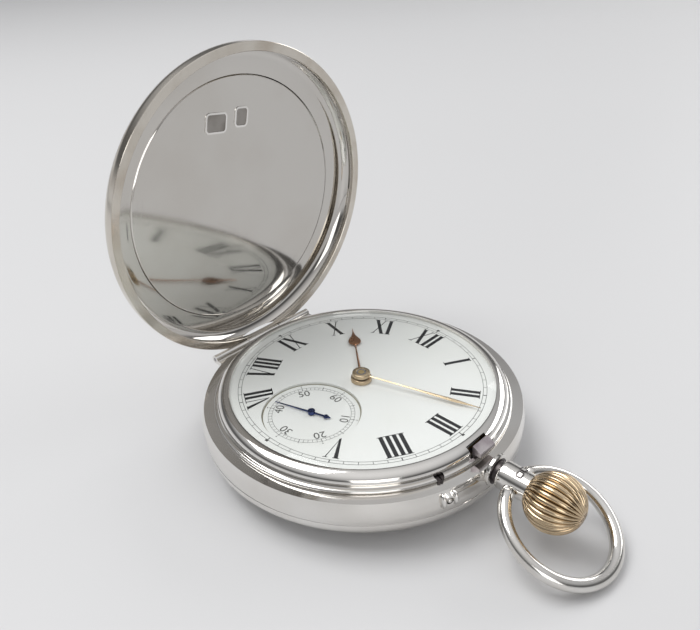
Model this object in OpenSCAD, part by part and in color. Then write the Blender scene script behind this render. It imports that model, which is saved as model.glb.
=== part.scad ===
// Double hunter pocket watch, lying on its back with the front lid open.
// X points to the pendant at III, Y to XII and Z out of the dial. Z = 0 is the flat of the back cover.

/* [Case] */
// Diameter of the case at the ledge that the front lid shuts on, which the movement follows
case_d = 50.4; // [46:0.2:56]
// Height of the band between the front lid and the back cover
band_h = 3.6; // [3.5:0.1:4]
// Depth of the back cover
back_h = 5; // [4.9:0.1:5.5]
// Wall of the band, the front lid and the back cover
wall = 0.55; // [0.45:0.05:0.65]
// How far the band swells past the ledge
band_swell = 0.3; // [0.1:0.05:0.4]
// Diameter of the flat that the watch lies on
rest_d = 28; // [24:0.5:30]
// Depth of the front lid from its rim to the top of its dome
lid_h = 5; // [4.9:0.1:5.6]
// Radius of the shallow dome of the front lid
lid_dome_r = 175; // [150:5:220]
// Distance from the ledge in to the shallow dish inside the front lid
lid_dish_in = 5.5; // [5.3:0.1:6.5]
// Angle at which the front lid stands open
lid_open = 88; // [60:1:92]
// Wall of the inner dust cover
cuvette_wall = 0.45; // [0.35:0.05:0.55]
// Depth of the inner dust cover
cuvette_h = 3.65; // [3.3:0.05:3.7]

/* [Bezel and glass] */
// Wall of the bezel over its seat
bezel_wall = 0.6; // [0.5:0.05:0.7]
// Width of the bead round the foot of the bezel
bead_w = 0.65; // [0.5:0.05:0.7]
// Rise of the glass from its edge to its middle, inside
glass_rise = 1.5; // [1.45:0.05:1.6]
// Thickness of the glass
glass_t = 0.6; // [0.4:0.05:0.65]

/* [Hinges] */
// Length of the front hinge
front_hinge_len = 21.6; // [18:0.2:22]
// Length of the back hinge
back_hinge_len = 16; // [12:0.5:18]
// Length of the lid knuckle in the middle of the front and back hinges
knuckle_len = 7; // [5:0.5:8]
// Radius of the knuckles of the front and back hinges
knuckle_r = 0.72; // [0.65:0.01:0.75]
// Radius of the front and back hinge pins
hinge_pin_r = 0.35; // [0.3:0.01:0.4]
// Length of the dust cover hinge
cuvette_hinge_len = 7; // [6:0.5:9]
// Radius of the knuckles of the dust cover hinge
cuvette_knuckle_r = 0.42; // [0.38:0.01:0.45]
// Radius of the dust cover hinge pin
cuvette_pin_r = 0.2; // [0.16:0.01:0.22]

/* [Pendant, bow and crown] */
// Radius of the pendant tube
pendant_r = 2.15; // [2:0.05:2.3]
// Length of the pendant from the band to its mouth
pendant_len = 6.2; // [5.8:0.1:6.6]
// Radius of the collar at the foot of the pendant
collar_r = 2.4; // [2.3:0.05:2.5]
// Middle radius of the ring of the bow
bow_ring_r = 7.95; // [7.6:0.05:8.6]
// Radius of the wire of the bow
bow_wire_r = 0.95; // [0.8:0.05:1.05]
// Radius of the pins at the ends of the bow
bow_pin_r = 0.6; // [0.5:0.05:0.7]
// Radius of the crown over its ribs
crown_r = 4.3; // [4.1:0.05:4.4]
// Number of ribs round the crown
crown_ribs = 28; // [24:1:32]
// Depth of the grooves between the ribs
crown_groove = 0.38; // [0.2:0.02:0.44]
// Travel of the crown when it is pushed to open the lid
crown_travel = 0.6; // [0.5:0.05:0.65]

/* [Catch and nail set] */
// Width of the catch that holds the front lid shut
catch_w = 4; // [3.6:0.1:4.2]
// How far the catch hooks over the rim of the lid
catch_hook = 0.45; // [0.3:0.05:0.5]
// Bearing of the nail set pin round the band
set_pin_angle = -19.9; // [-24:0.1:-18]
// Radius of the nail set pin
set_pin_r = 0.5; // [0.4:0.02:0.55]
// Travel of the nail set pin
set_pin_travel = 0.6; // [0.5:0.05:0.6]

/* [Dial and hands] */
// Thickness of the enamel dial
dial_t = 0.8; // [0.7:0.05:0.9]
// Radius of the sunk seconds dial, in a full size movement of 42.7 mm
seconds_size = 7.5; // [6.8:0.1:7.6]
// Distance out to the middle of the seconds dial, in a full size movement
seconds_out = 10.9; // [10.8:0.05:11]
// Depth that the seconds dial is sunk
seconds_sink = 0.4; // [0.3:0.05:0.45]
// Reach of the hour hand, in a full size movement
hour_reach = 12.8; // [11.5:0.1:13.5]
// Reach of the minute hand, in a full size movement
minute_reach = 18.9; // [17:0.1:19.2]
// Reach of the seconds hand, in a full size movement
second_reach = 6.3; // [5.5:0.1:6.6]

/* [Movement] */
// Distance from the ledge of the case in to the flange of the main plate
case_space = 3.85; // [3.8:0.05:3.9]
// Thickness of the main plate
plate_t = 2.45; // [2.4:0.05:2.5]
// Space between the main plate and the three-quarter plate
plates_gap = 2.1; // [2.1:0.05:2.2]
// Thickness of the three-quarter plate
bridge_t = 1.2; // [1:0.05:1.25]
// Module of the barrel's teeth in a full size movement of 42.7 mm
barrel_module = 0.21; // [0.208:0.001:0.212]
// Module of the centre wheel's teeth in a full size movement
centre_module = 0.155; // [0.154:0.001:0.156]
// Module of the third wheel's teeth in a full size movement
third_module = 0.14; // [0.139:0.001:0.141]
// Module of the fourth wheel's teeth in a full size movement
fourth_module = 0.125; // [0.122:0.001:0.127]
// Module of the winding wheels' teeth in a full size movement
wind_module = 0.2; // [0.198:0.001:0.202]
// Radius of the escape wheel over its teeth in a full size movement
escape_size = 3.6; // [3.5:0.05:3.65]
// Radius of the balance wheel in a full size movement
balance_size = 6.6; // [6.2:0.1:6.7]
// Number of turns of the balance spring
hair_turns = 6; // [4:1:8]
// Number of turns of the mainspring
main_turns = 6; // [5:1:7]

/* [Hidden] */
$fn = 96;

// Clearances: a running fit, a seated fit, and the air between pieces that pass
run = 0.03;
seat = 0.01;
air = 0.15;
shut = 0.03;
// Small overlap that joins the shapes of one piece
join = 0.02;

// Levels, from the table up
joint_z = back_h;
ledge_z = back_h + band_h;
dial_top = ledge_z + 1.8;
dial_z = dial_top - dial_t;
plate_top = dial_z - 0.05;
plate_z = plate_top - plate_t;
bridge_top = plate_z - plates_gap;
bridge_z = bridge_top - bridge_t;
shelf_h = 0.8;
work_z = plate_top - 0.75;
barrel_roof = work_z - 0.4;
stem_z = plate_z + 0.3;

// Radii of the case, from the movement out. cal is the size of the movement against the full size one
case_r = case_d / 2;
plate_r = case_r - case_space;
plate_low_r = plate_r - 0.55;
dial_r = plate_r - 0.05;
seat_r = plate_r + air;
seat_out_r = seat_r + 0.55;
bezel_in_r = seat_out_r + 0.1;
bezel_out_r = bezel_in_r + bezel_wall;
bead_r = bezel_out_r + bead_w;
lip_r = bead_r + air;
lip_t = 0.65;
lid_r = case_r - 0.25;
aperture_r = dial_r - 0.42;
joint_r = case_r + 0.2;
shelf_r = plate_low_r + 0.1;
seat_ring_h = 0.6;
full_plate_r = 21.35;
cal = plate_r / full_plate_r;
barrel_m = cal * barrel_module;
centre_m = cal * centre_module;
third_m = cal * third_module;
fourth_m = cal * fourth_module;
wind_m = cal * wind_module;
escape_r = cal * escape_size;
balance_r = cal * balance_size;
seconds_r = cal * seconds_size;
seconds_y = cal * seconds_out;
hour_len = cal * hour_reach;
minute_len = cal * minute_reach;
second_len = cal * second_reach;
lid_dish_r = case_r - lid_dish_in;
rest_r = rest_d / 2;

// Hinges
hinge_x = -(case_r - 0.7);
chord_x = hinge_x + 0.5;
leaf_gap = 0.1;
knuckle_room = knuckle_r + leaf_gap;
cuvette_r = seat_out_r + 0.55;
cuvette_hinge_x = -(cuvette_r + 0.3);
cuvette_hinge_z = joint_z - 0.45;

// Pendant, bow and crown
pendant_x = case_r - 0.1;
mouth_x = pendant_x + pendant_len;
stem_bore_r = 1.1;
bow_x = pendant_x + 3.5;
bow_drop = asin((stem_z - bow_wire_r - 0.01) / (2 * bow_ring_r));
crown_x = mouth_x + 3.2;
crown_mouth_r = pendant_r + 0.2;
crown_floor_x = mouth_x + crown_travel + 0.1;
case_stem_r = stem_bore_r - 0.06;
square_w = 1;
socket_x = plate_low_r - 0.1;
clutch_x = cal * 13.1;
case_stem_x = socket_x + crown_travel + 1.9;

// Catch
catch_in_x = seat_r + crown_travel;
catch_neck_x = lip_r - air - 0.8;
catch_nose_x = lip_r + catch_hook;
catch_top = ledge_z + 2.4;
slot_in_x = seat_r - 0.25;
spring_anchor = 42;
spring_r = seat_out_r + 0.25;

// Nail set pin
pin_z = joint_z + 0.61 * band_h;
pin_screw_r = bezel_out_r + 0.13;
pin_end_r = plate_low_r - 0.5;

// Dial train
cannon_n = 12;
minute_n = 36;
minute_pinion_n = 10;
hour_n = 40;
cannon_m = cal * 0.15;
centre_arbor_r = 0.5;
cannon_r = cal * 0.75;
hour_bore_r = cannon_r + 0.04;
hour_m = cannon_m * (cannon_n + minute_n) / (minute_pinion_n + hour_n);
minute_pos = polar(cannon_m * (cannon_n + minute_n) / 2, -20);
setting_n = 44;
setting_pos = minute_pos + polar(cannon_m * (minute_n + setting_n) / 2, 3);

// Going train
barrel_n = 80;
centre_pinion_n = 10;
centre_n = 80;
third_pinion_n = 10;
third_n = 75;
fourth_pinion_n = 10;
fourth_n = 80;
escape_pinion_n = 8;
escape_n = 15;
barrel_pos = polar(barrel_m * (barrel_n + centre_pinion_n) / 2, 60);
fourth_pos = [0, -seconds_y];
third_a = centre_m * (centre_n + third_pinion_n) / 2;
third_b = third_m * (third_n + fourth_pinion_n) / 2;
third_y = -(third_a * third_a - third_b * third_b + seconds_y * seconds_y) / (2 * seconds_y);
third_pos = [sqrt(third_a * third_a - third_y * third_y), third_y];
escape_pos = fourth_pos + polar(fourth_m * (fourth_n + escape_pinion_n) / 2, 150);
lever_angle = 155;
pallet_span = 30;
pallet_dist = escape_r / cos(pallet_span);
fork_dist = cal * 4.4;
pallet_pos = escape_pos + polar(pallet_dist, lever_angle);
balance_pos = pallet_pos + polar(fork_dist, lever_angle);
roller_pin_r = 0.11;
roller_reach = cal;
cock_foot = cal * [-15, 6.6];
pillar_at = cal * [[17.85, 6.5], [-12.2, 14.6], [15.6, -10.9], [4.9, -18.4]];
pillar_r = 1.1;

// Winding and hand setting work
wind_pinion_n = 12;
contrate_n = 24;
crown_wheel_n = 48;
ratchet_n = 72;
wind_span = wind_m * (crown_wheel_n + ratchet_n) / 2;
crown_wheel_x = barrel_pos[0] + sqrt(wind_span * wind_span - barrel_pos[1] * barrel_pos[1]);
wind_pinion_r = 1.5;
contrate_in = cal * 2.4;
contrate_out = cal * 3.3;
contrate_w = cal * 0.25;
yoke_pos = cal * [10, -10];
yoke_finger = [crown_wheel_x + cal * 0.6, -1.1];

// Where the hands stand
hour_angle = 143.7;
minute_angle = 15;
seconds_angle = -162;
// Slope of the minute hand toward the edge of the glass
hand_droop = 2.1;

// Sites of the screws, the click and the yoke
case_screw_r = plate_low_r - 0.5;
case_screw_at = [polar(case_screw_r, 95), polar(case_screw_r, -110)];
pallet_foot = pallet_pos + cal * [-1.2, -5.2];
crown_wheel_pos = [crown_wheel_x, 0];
ratchet_phase = mate(bearing(crown_wheel_pos, barrel_pos), crown_wheel_n, 0, ratchet_n);
click_gap = ratchet_phase + 360 / ratchet_n * (floor((100 - ratchet_phase) * ratchet_n / 360) + 0.5);
click_pos = barrel_pos + polar(wind_m * ratchet_n / 2 + 2.2, click_gap - 22);
yoke_tail = polar(pin_end_r - 0.4, set_pin_angle);
yoke_elbow = cal * [15.6, -6.3];
barrel_z = bridge_top + 0.85;
drum_r = barrel_m * (barrel_n / 2 - 1.1) - 0.1;
minute_phase = mate(-20, cannon_n, 0, minute_n);
hour_phase = mate(160, minute_pinion_n, minute_phase, hour_n);

// Phase of a wheel of nb teeth that stands at angle t from one of na teeth at phase pa
function mate(t, na, pa, nb) = t + 180 - 180 / nb + (t - pa) * na / nb;
function polar(r, a) = [r * cos(a), r * sin(a)];
function bearing(a, b) = atan2(b[1] - a[1], b[0] - a[0]);
function ellipse(c, rx, ry, a0, a1, n = 10) =
  [for (i = [0:n]) let (a = a0 + (a1 - a0) * i / n) c + [rx * cos(a), ry * sin(a)]];

// Outline of a wheel with n teeth of module m, a tooth pointing along X
function tooth_ring(n, m, add = 0.85, ded = 1.1) =
  let (p = 360 / n, tip = m * (n / 2 + add), root = m * (n / 2 - ded))
  [for (i = [0:n - 1]) each [
    polar(root, i * p - 0.29 * p), polar(tip, i * p - 0.11 * p),
    polar(tip, i * p + 0.11 * p), polar(root, i * p + 0.29 * p)
  ]];

// A window between two spokes
function window(r0, r1, a0, a1, n = 6) = concat(
  [for (i = [0:n]) polar(r1, a0 + (a1 - a0) * i / n)],
  [for (i = [0:n]) polar(r0, a1 + (a0 - a1) * i / n)]
);

module gear(n, m, h, z, bore = 0, phase = 0) {
  translate([0, 0, z])
    rotate([0, 0, phase])
      linear_extrude(h)
        difference() {
          polygon(tooth_ring(n, m));
          if (bore > 0) circle(bore);
        }
}

// A train wheel with crossings
module crossed_gear(n, m, h, z, spokes = 5, phase = 0, rim = 0.6, hub = 1.1) {
  root = m * (n / 2 - 1.1);
  pitch = 360 / spokes;
  half_spoke = 13 / hub;
  translate([0, 0, z])
    linear_extrude(h)
      difference() {
        rotate([0, 0, phase]) polygon(tooth_ring(n, m));
        for (k = [0:spokes - 1])
          polygon(window(hub, root - rim, k * pitch + half_spoke, (k + 1) * pitch - half_spoke));
      }
}

module disc(r, z0, z1) {
  translate([0, 0, z0]) cylinder(r = r, h = z1 - z0);
}

module disc_at(p, r, z0, z1) {
  translate([p[0], p[1], z0]) cylinder(r = r, h = z1 - z0);
}

// A round bar along X from x0 to x1 on the stem's axis
module stem_rod(r, x0, x1) {
  translate([x0, 0, stem_z]) rotate([0, 90, 0]) cylinder(r = r, h = x1 - x0);
}

// A round bar along Y, centred
module y_rod(x, z, r, len) {
  translate([x, 0, z]) rotate([90, 0, 0]) cylinder(r = r, h = len, center = true);
}

module y_block(x0, x1, z0, z1, len) {
  translate([x0, -len / 2, z0]) cube([x1 - x0, len, z1 - z0]);
}

// Two knuckles on the case, either side of the lid's own
module end_knuckles(x, z, r, len, mid) {
  for (s = [-1, 1])
    translate([0, s * (len + mid) / 4, 0]) y_rod(x, z, r, (len - mid) / 2);
}

function band_out(t) = case_r - 0.15 + 0.35 * (1 - t) + band_swell * sin(180 * t);

module band_ring() {
  floor_z = joint_z + 0.6;
  rotate_extrude()
    polygon(concat(
      [for (i = [0:8]) [band_out(i / 8), joint_z + band_h * i / 8]],
      [
        [seat_out_r, ledge_z], [seat_out_r, ledge_z + 0.7], [seat_r, ledge_z + 0.7],
        [seat_r, plate_z + shelf_h], [shelf_r, plate_z + shelf_h], [shelf_r, plate_z],
        [seat_out_r + 0.25, plate_z], [seat_out_r + 0.25, ledge_z - wall],
        [band_out(1) - wall, ledge_z - wall], [band_out(0.5) - wall - 0.1, joint_z + band_h / 2],
        [band_out(0) - wall, floor_z], [shelf_r + 0.1, floor_z], [shelf_r + 0.1, joint_z],
        [cuvette_r + 0.2, joint_z], [cuvette_r + 0.2, joint_z - seat_ring_h],
        [lip_r - air, joint_z - seat_ring_h], [lip_r - air, joint_z]
      ]
    ));
}

module case_band() {
  color("silver")
    difference() {
      union() {
        difference() {
          union() {
            band_ring();
            y_block(hinge_x, -(case_r - 2.4), ledge_z - knuckle_r, ledge_z - shut, front_hinge_len);
            y_block(hinge_x, -(case_r - 2.4), joint_z + shut, joint_z + knuckle_r, back_hinge_len);
            y_block(
              cuvette_hinge_x, -(cuvette_r + 0.06), cuvette_hinge_z, joint_z + join, cuvette_hinge_len
            );
            // Guard round the nail set pin
            rotate([0, 0, set_pin_angle])
              translate([case_r - 0.5, 0, pin_z])
                rotate([0, 90, 0]) cylinder(r1 = 1.15, r2 = 0.85, h = 1.15);
          }
          // Room for the knuckles of the lids
          y_rod(hinge_x, ledge_z, knuckle_room, knuckle_len + 2 * leaf_gap);
          y_rod(hinge_x, joint_z, knuckle_room, knuckle_len + 2 * leaf_gap);
          y_block(hinge_x - 2, hinge_x, ledge_z - knuckle_room, ledge_z + 2, knuckle_len + 2 * leaf_gap);
          y_block(hinge_x - 2, hinge_x, joint_z - 2, joint_z + knuckle_room, knuckle_len + 2 * leaf_gap);
          y_block(-(lip_r), -(cuvette_r - 0.6), joint_z - 2, joint_z, cuvette_hinge_len / 3 + 2 * leaf_gap);
          y_block(
            cuvette_hinge_x - 1, -(cuvette_r - 0.6), joint_z - 2, cuvette_hinge_z, cuvette_hinge_len + 0.6
          );
        }
        end_knuckles(hinge_x, ledge_z, knuckle_r, front_hinge_len, knuckle_len + 2 * leaf_gap);
        end_knuckles(hinge_x, joint_z, knuckle_r, back_hinge_len, knuckle_len + 2 * leaf_gap);
        end_knuckles(
          cuvette_hinge_x, cuvette_hinge_z, cuvette_knuckle_r, cuvette_hinge_len,
          cuvette_hinge_len / 3 + 2 * leaf_gap
        );
      }
      y_rod(hinge_x, ledge_z, hinge_pin_r + seat, front_hinge_len + 1);
      y_rod(hinge_x, joint_z, hinge_pin_r + seat, back_hinge_len + 1);
      y_rod(cuvette_hinge_x, cuvette_hinge_z, cuvette_pin_r + seat, cuvette_hinge_len + 1);
      // Seat of the pendant and way of the stem
      stem_rod(collar_r + seat, pendant_x, pendant_x + 2);
      stem_rod(1.7 + seat, band_out(0.5) - wall - seat, pendant_x + 2);
      stem_rod(stem_bore_r, shelf_r - 1, pendant_x + 2);
      // Slot of the catch
      translate([slot_in_x, -catch_w / 2 - 1.4, plate_z - 0.1])
        cube([catch_neck_x + air - slot_in_x, catch_w + 1.7, 3]);
      // Slot of the lift spring
      translate([-(lip_r), 2.2, ledge_z - 1.5]) cube([1.1, 1.6, 2]);
      // Way of the nail set pin and its screw
      rotate([0, 0, set_pin_angle]) {
        translate([pin_end_r - 1, 0, pin_z])
          rotate([0, 90, 0]) cylinder(r = set_pin_r + run, h = case_r + 3 - pin_end_r);
        translate([pin_screw_r, 0, pin_z]) cylinder(r = 0.31, h = 4);
      }
      // Screw hole of the lock spring
      rotate([0, 0, spring_anchor])
        translate([spring_r, 0, joint_z + 1.35]) rotate([0, 90, 0]) cylinder(r = 0.3 + seat, h = 2.9);
    }
}

module pendant() {
  color("silver")
    difference() {
      pendant_tube();
      y_rod(bow_x, stem_z, bow_pin_r + run, 2 * collar_r + 1);
    }
}

module pendant_tube() {
  foot_x = band_out(0.5) - wall;
  translate([0, 0, stem_z])
    rotate([0, 90, 0])
      rotate_extrude()
        polygon(concat(
          [
            [stem_bore_r, foot_x], [1.7, foot_x], [1.7, pendant_x], [collar_r - 0.1, pendant_x],
            [collar_r, pendant_x + 0.12], [collar_r, pendant_x + 0.5], [collar_r - 0.12, pendant_x + 0.62],
            [1.7, pendant_x + 0.72], [1.7, pendant_x + 1.25]
          ],
          ellipse([pendant_r - 0.45, pendant_x + 1.8], 0.45, 0.5, -90, 0, 6),
          [[pendant_r - 0.1, mouth_x - 0.1], [pendant_r - 0.2, mouth_x], [stem_bore_r, mouth_x]]
        ));
}

module bow() {
  gap_a = asin((pendant_r + bow_wire_r + 0.25) / bow_ring_r);
  end_x = bow_ring_r * (1 - cos(gap_a));
  end_y = bow_ring_r * sin(gap_a);
  color("silver")
    translate([bow_x, 0, stem_z])
      rotate([0, bow_drop, 0])
        union() {
          translate([bow_ring_r, 0, 0])
            rotate([0, 0, 180 + gap_a])
              rotate_extrude(angle = 360 - 2 * gap_a)
                translate([bow_ring_r, 0]) circle(bow_wire_r);
          for (s = [-1, 1]) {
            translate([end_x, s * end_y, 0]) sphere(bow_wire_r + 0.1);
            translate([0, s * (stem_bore_r + 0.1), 0])
              rotate([-s * 90, 0, 0]) cylinder(r = bow_pin_r, h = end_y - stem_bore_r - 0.2);
            translate([0, s * (end_y - 0.1), 0])
              rotate([-s * 90, 0, 0]) cylinder(r1 = bow_pin_r, r2 = bow_pin_r / 2, h = 0.5);
          }
        }
}

module bezel() {
  top = dial_top + 0.55;
  color("gainsboro")
    difference() {
      rotate_extrude()
        polygon([
          [bezel_in_r, ledge_z + 0.04], [bead_r - 0.12, ledge_z + 0.04], [bead_r, ledge_z + 0.16],
          [bead_r, ledge_z + 0.42], [bead_r - 0.12, ledge_z + 0.56], [bezel_out_r + 0.1, ledge_z + 0.6],
          [bezel_out_r, ledge_z + 0.7], [bezel_out_r - 0.02, ledge_z + 1.1],
          [bezel_out_r - 0.35, ledge_z + 1.7],
          [aperture_r + 0.9, top - 0.25], [aperture_r + 0.4, top - 0.06], [aperture_r + 0.15, top],
          [aperture_r, top - 0.04], [aperture_r, top - 0.1], [aperture_r + 0.28, top - 0.1],
          [aperture_r + 0.28, top - 0.24], [aperture_r, top - 0.24], [aperture_r, dial_top + 0.08],
          [seat_r + 0.3, dial_top + 0.08], [seat_r + 0.3, ledge_z + 0.8], [bezel_in_r, ledge_z + 0.8]
        ]);
      // Notches for the catch and the screw of the nail set pin
      translate([catch_in_x - crown_travel - 0.12, -catch_w / 2 - 1.4, ledge_z - 1])
        cube([3, catch_w + 1.7, 4]);
      rotate([0, 0, set_pin_angle]) translate([pin_screw_r, 0, ledge_z - 1]) cylinder(r = 0.74, h = 1.62);
    }
}

// How far a dome of radius big has come down at radius r
function dome_drop(big, r) = big - sqrt(big * big - r * r);

module crystal() {
  edge = dial_top + 0.33;
  rim_r = aperture_r + 0.26;
  inner_r = (rim_r * rim_r + glass_rise * glass_rise) / (2 * glass_rise);
  rise = glass_rise + glass_t - 0.06;
  outer_r = (rim_r * rim_r + rise * rise) / (2 * rise);
  color("lightcyan", 0.3)
    rotate_extrude()
      polygon(concat(
        [for (i = [0:16]) let (r = rim_r * i / 16) [r, edge + rise + 0.06 - dome_drop(outer_r, r)]],
        [for (i = [16:-1:0]) let (r = rim_r * i / 16) [r, edge + glass_rise - dome_drop(inner_r, r)]]
      ));
}

// The front lid as it lies when shut
module lid_shut() {
  z0 = ledge_z + 0.02;
  corner_r = lid_r - 2.35;
  corner_h = lid_h - corner_r * corner_r / (2 * lid_dome_r);
  cove_r = lip_r + 0.75;
  difference() {
    union() {
      difference() {
        translate([0, 0, z0])
          rotate_extrude()
            polygon(concat(
              [[lip_r, 0], [lid_r, 0]],
              ellipse([corner_r, 0.9], lid_r - corner_r, corner_h - 0.9, 0, 90, 10),
              [for (i = [7:-1:0]) let (r = corner_r * i / 8) [r, lid_h - r * r / (2 * lid_dome_r)]],
              [for (i = [0:8]) let (r = lid_dish_r * i / 8) [r, lid_h - wall - 1.12 * i * i / 64]],
              [[lid_dish_r + 0.05, lid_h - wall - 1.04]],
              ellipse([cove_r - 2.1, 0.95], 2.1, corner_h - 0.95 - wall, 90, 0, 8),
              [[cove_r, lip_t], [lip_r, lip_t]]
            ));
        translate([chord_x - 10, -20, z0 - 1]) cube([10, 40, 10]);
      }
      y_block(hinge_x, -(lip_r + 0.02), ledge_z + 0.02, ledge_z + lip_t + 0.2, knuckle_len);
      y_rod(hinge_x, ledge_z, knuckle_r, knuckle_len);
    }
    for (s = [-1, 1])
      translate([0, s * ((front_hinge_len + knuckle_len) / 4 + 0.1), 0])
        y_rod(hinge_x, ledge_z, knuckle_room, (front_hinge_len - knuckle_len) / 2 + 0.2);
    y_rod(hinge_x, ledge_z, hinge_pin_r + run, knuckle_len + 1);
  }
}

module front_lid() {
  color("gainsboro")
    translate([hinge_x, 0, ledge_z])
      rotate([0, -lid_open, 0]) translate([-hinge_x, 0, -ledge_z]) lid_shut();
}

module front_hinge_pin() {
  color("gray") y_rod(hinge_x, ledge_z, hinge_pin_r, front_hinge_len);
}

module back_hinge_pin() {
  color("gray") y_rod(hinge_x, joint_z, hinge_pin_r, back_hinge_len);
}

module cuvette_hinge_pin() {
  color("gray") y_rod(cuvette_hinge_x, cuvette_hinge_z, cuvette_pin_r, cuvette_hinge_len);
}

module back_cover() {
  z1 = joint_z - 0.03;
  zc = joint_z - 0.6;
  color("silver")
    difference() {
      union() {
        difference() {
          rotate_extrude()
            polygon(concat(
              [[lip_r, z1], [lip_r, zc], [joint_r - wall - 0.1, zc]],
              ellipse([rest_r, zc], joint_r - rest_r - wall - 0.1, zc - wall, 0, -90, 12),
              [[0, wall], [0, 0]],
              ellipse([rest_r, zc], joint_r - rest_r, zc, -90, 0, 14),
              [[joint_r, z1 - 0.1], [joint_r - 0.1, z1]]
            ));
          translate([chord_x - 10, -20, -1]) cube([10, 40, 10]);
        }
        y_block(hinge_x, chord_x + 0.6, joint_z - 0.9, joint_z - 0.03, knuckle_len);
        y_rod(hinge_x, joint_z, knuckle_r, knuckle_len);
      }
      for (s = [-1, 1])
        translate([0, s * ((back_hinge_len + knuckle_len) / 4 + 0.1), 0])
          y_rod(hinge_x, joint_z, knuckle_room, (back_hinge_len - knuckle_len) / 2 + 0.2);
      y_rod(hinge_x, joint_z, hinge_pin_r + run, knuckle_len + 1);
      y_block(cuvette_hinge_x - cuvette_knuckle_r - 0.15, -20, 2.6, joint_z, cuvette_hinge_len + 0.8);
    }
}

module cuvette() {
  z1 = joint_z - 0.03;
  zc = joint_z - 0.5;
  flat_r = cuvette_r - 6.6;
  mid = cuvette_hinge_len / 3;
  color("silver")
    difference() {
      union() {
        difference() {
          rotate_extrude()
            polygon(concat(
              [[cuvette_r - cuvette_wall, z1]],
              ellipse([flat_r, zc], 6.6 - cuvette_wall, cuvette_h - 0.47 - cuvette_wall, 0, -90, 10),
              [[0, zc - cuvette_h + 0.47 + cuvette_wall], [0, zc - cuvette_h + 0.47]],
              ellipse([flat_r, zc], 6.6, cuvette_h - 0.47, -90, 0, 12),
              [[cuvette_r, z1]]
            ));
          y_rod(cuvette_hinge_x, cuvette_hinge_z, cuvette_knuckle_r + leaf_gap, cuvette_hinge_len + 0.6);
        }
        y_rod(cuvette_hinge_x, cuvette_hinge_z, cuvette_knuckle_r, mid);
        y_block(
          cuvette_hinge_x, cuvette_hinge_x + 0.75, cuvette_hinge_z - 0.4, cuvette_hinge_z - 0.02, mid
        );
      }
      y_rod(cuvette_hinge_x, cuvette_hinge_z, cuvette_pin_r + run, mid + 1);
    }
}

// Half depth of a crown rib at an angle round the crown
function crown_rib(a) = crown_groove * (1 - pow(abs(cos(a * crown_ribs / 2)), 0.7));

module crown() {
  rings = 12;
  steps = 4 * crown_ribs;
  a0 = 33;
  a1 = 166;
  pts = [for (j = [0:rings], i = [0:steps - 1])
    let (
      b = a0 + (a1 - a0) * j / rings,
      a = 360 * i / steps,
      r = crown_r * sin(b) - crown_rib(a) * min(1, 1.6 * sin(180 * (j + 0.6) / (rings + 1)))
    )
    [r * cos(a), r * sin(a), -crown_r * cos(b)]];
  sides = [for (j = [0:rings - 1], i = [0:steps - 1])
    let (k = (i + 1) % steps)
    [j * steps + i, (j + 1) * steps + i, (j + 1) * steps + k, j * steps + k]];
  first = [for (i = [0:steps - 1]) i];
  last = [for (i = [steps - 1:-1:0]) rings * steps + i];
  color("goldenrod")
    difference() {
      union() {
        translate([crown_x, 0, stem_z]) rotate([0, 90, 0]) polyhedron(pts, concat(sides, [first, last]));
        stem_rod(1.05, crown_x + crown_r - 1.2, crown_x + crown_r + 0.1);
        stem_rod(0.8, crown_x + crown_r, crown_x + crown_r + 0.3);
      }
      stem_rod(crown_mouth_r, crown_x - crown_r, crown_floor_x);
      stem_rod(0.9 + seat, crown_x - crown_r, crown_x + 2.1);
    }
}

module crown_stem() {
  color("dimgray")
    union() {
      stem_rod(0.9, crown_floor_x - 0.2, crown_x + 2);
      stem_rod(case_stem_r, case_stem_x, crown_floor_x - 0.05);
      translate([case_stem_x - 4.7, -square_w / 2, stem_z - square_w / 2]) cube([4.75, square_w, square_w]);
    }
}

module winding_stem() {
  color("dimgray")
    difference() {
      union() {
        stem_rod(0.45, clutch_x - 2.2, clutch_x - 0.8);
        translate([clutch_x - 0.8, -0.55, stem_z - 0.55]) cube([3.1, 1.1, 1.1]);
        stem_rod(0.8, clutch_x + 2.25, clutch_x + 4.35);
        stem_rod(1.15, clutch_x + 4.3, socket_x);
      }
      translate([socket_x - 3, -square_w / 2 - 0.04, stem_z - square_w / 2 - 0.04])
        cube([4, square_w + 0.08, square_w + 0.08]);
    }
}

// A leaved wheel round the stem
module stem_gear(n, r, root, x0, x1, bore) {
  translate([x0, 0, stem_z])
    rotate([0, 90, 0])
      linear_extrude(x1 - x0)
        difference() {
          polygon([for (i = [0:n - 1], k = [[root, -0.3], [r, -0.14], [r, 0.14], [root, 0.3]])
            polar(k[0], (i + 0.5 + k[1]) * 360 / n)]);
          if (bore > 0) circle(bore);
        }
}

module winding_pinion() {
  color("slategray")
    union() {
      stem_gear(wind_pinion_n, wind_pinion_r, 1.12, clutch_x + 2.5, clutch_x + 3.8, 0.83);
      translate([clutch_x + 2.3, 0, stem_z])
        rotate([0, 90, 0])
          difference() {
            cylinder(r = 1.12, h = 0.25);
            translate([0, 0, -1]) cylinder(r = 0.83, h = 2);
          }
    }
}

module sliding_clutch() {
  color("slategray")
    translate([clutch_x, 0, stem_z])
      rotate([0, 90, 0])
        difference() {
          rotate_extrude()
            polygon([
              [0, 0], [1.3, 0], [1.45, 0.15], [1.45, 0.65], [1.1, 0.7], [1.1, 1.3],
              [1.45, 1.35], [1.45, 2.1], [1.3, 2.25], [0, 2.25]
            ]);
          translate([-0.59, -0.59, -1]) cube([1.18, 1.18, 5]);
        }
}

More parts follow.
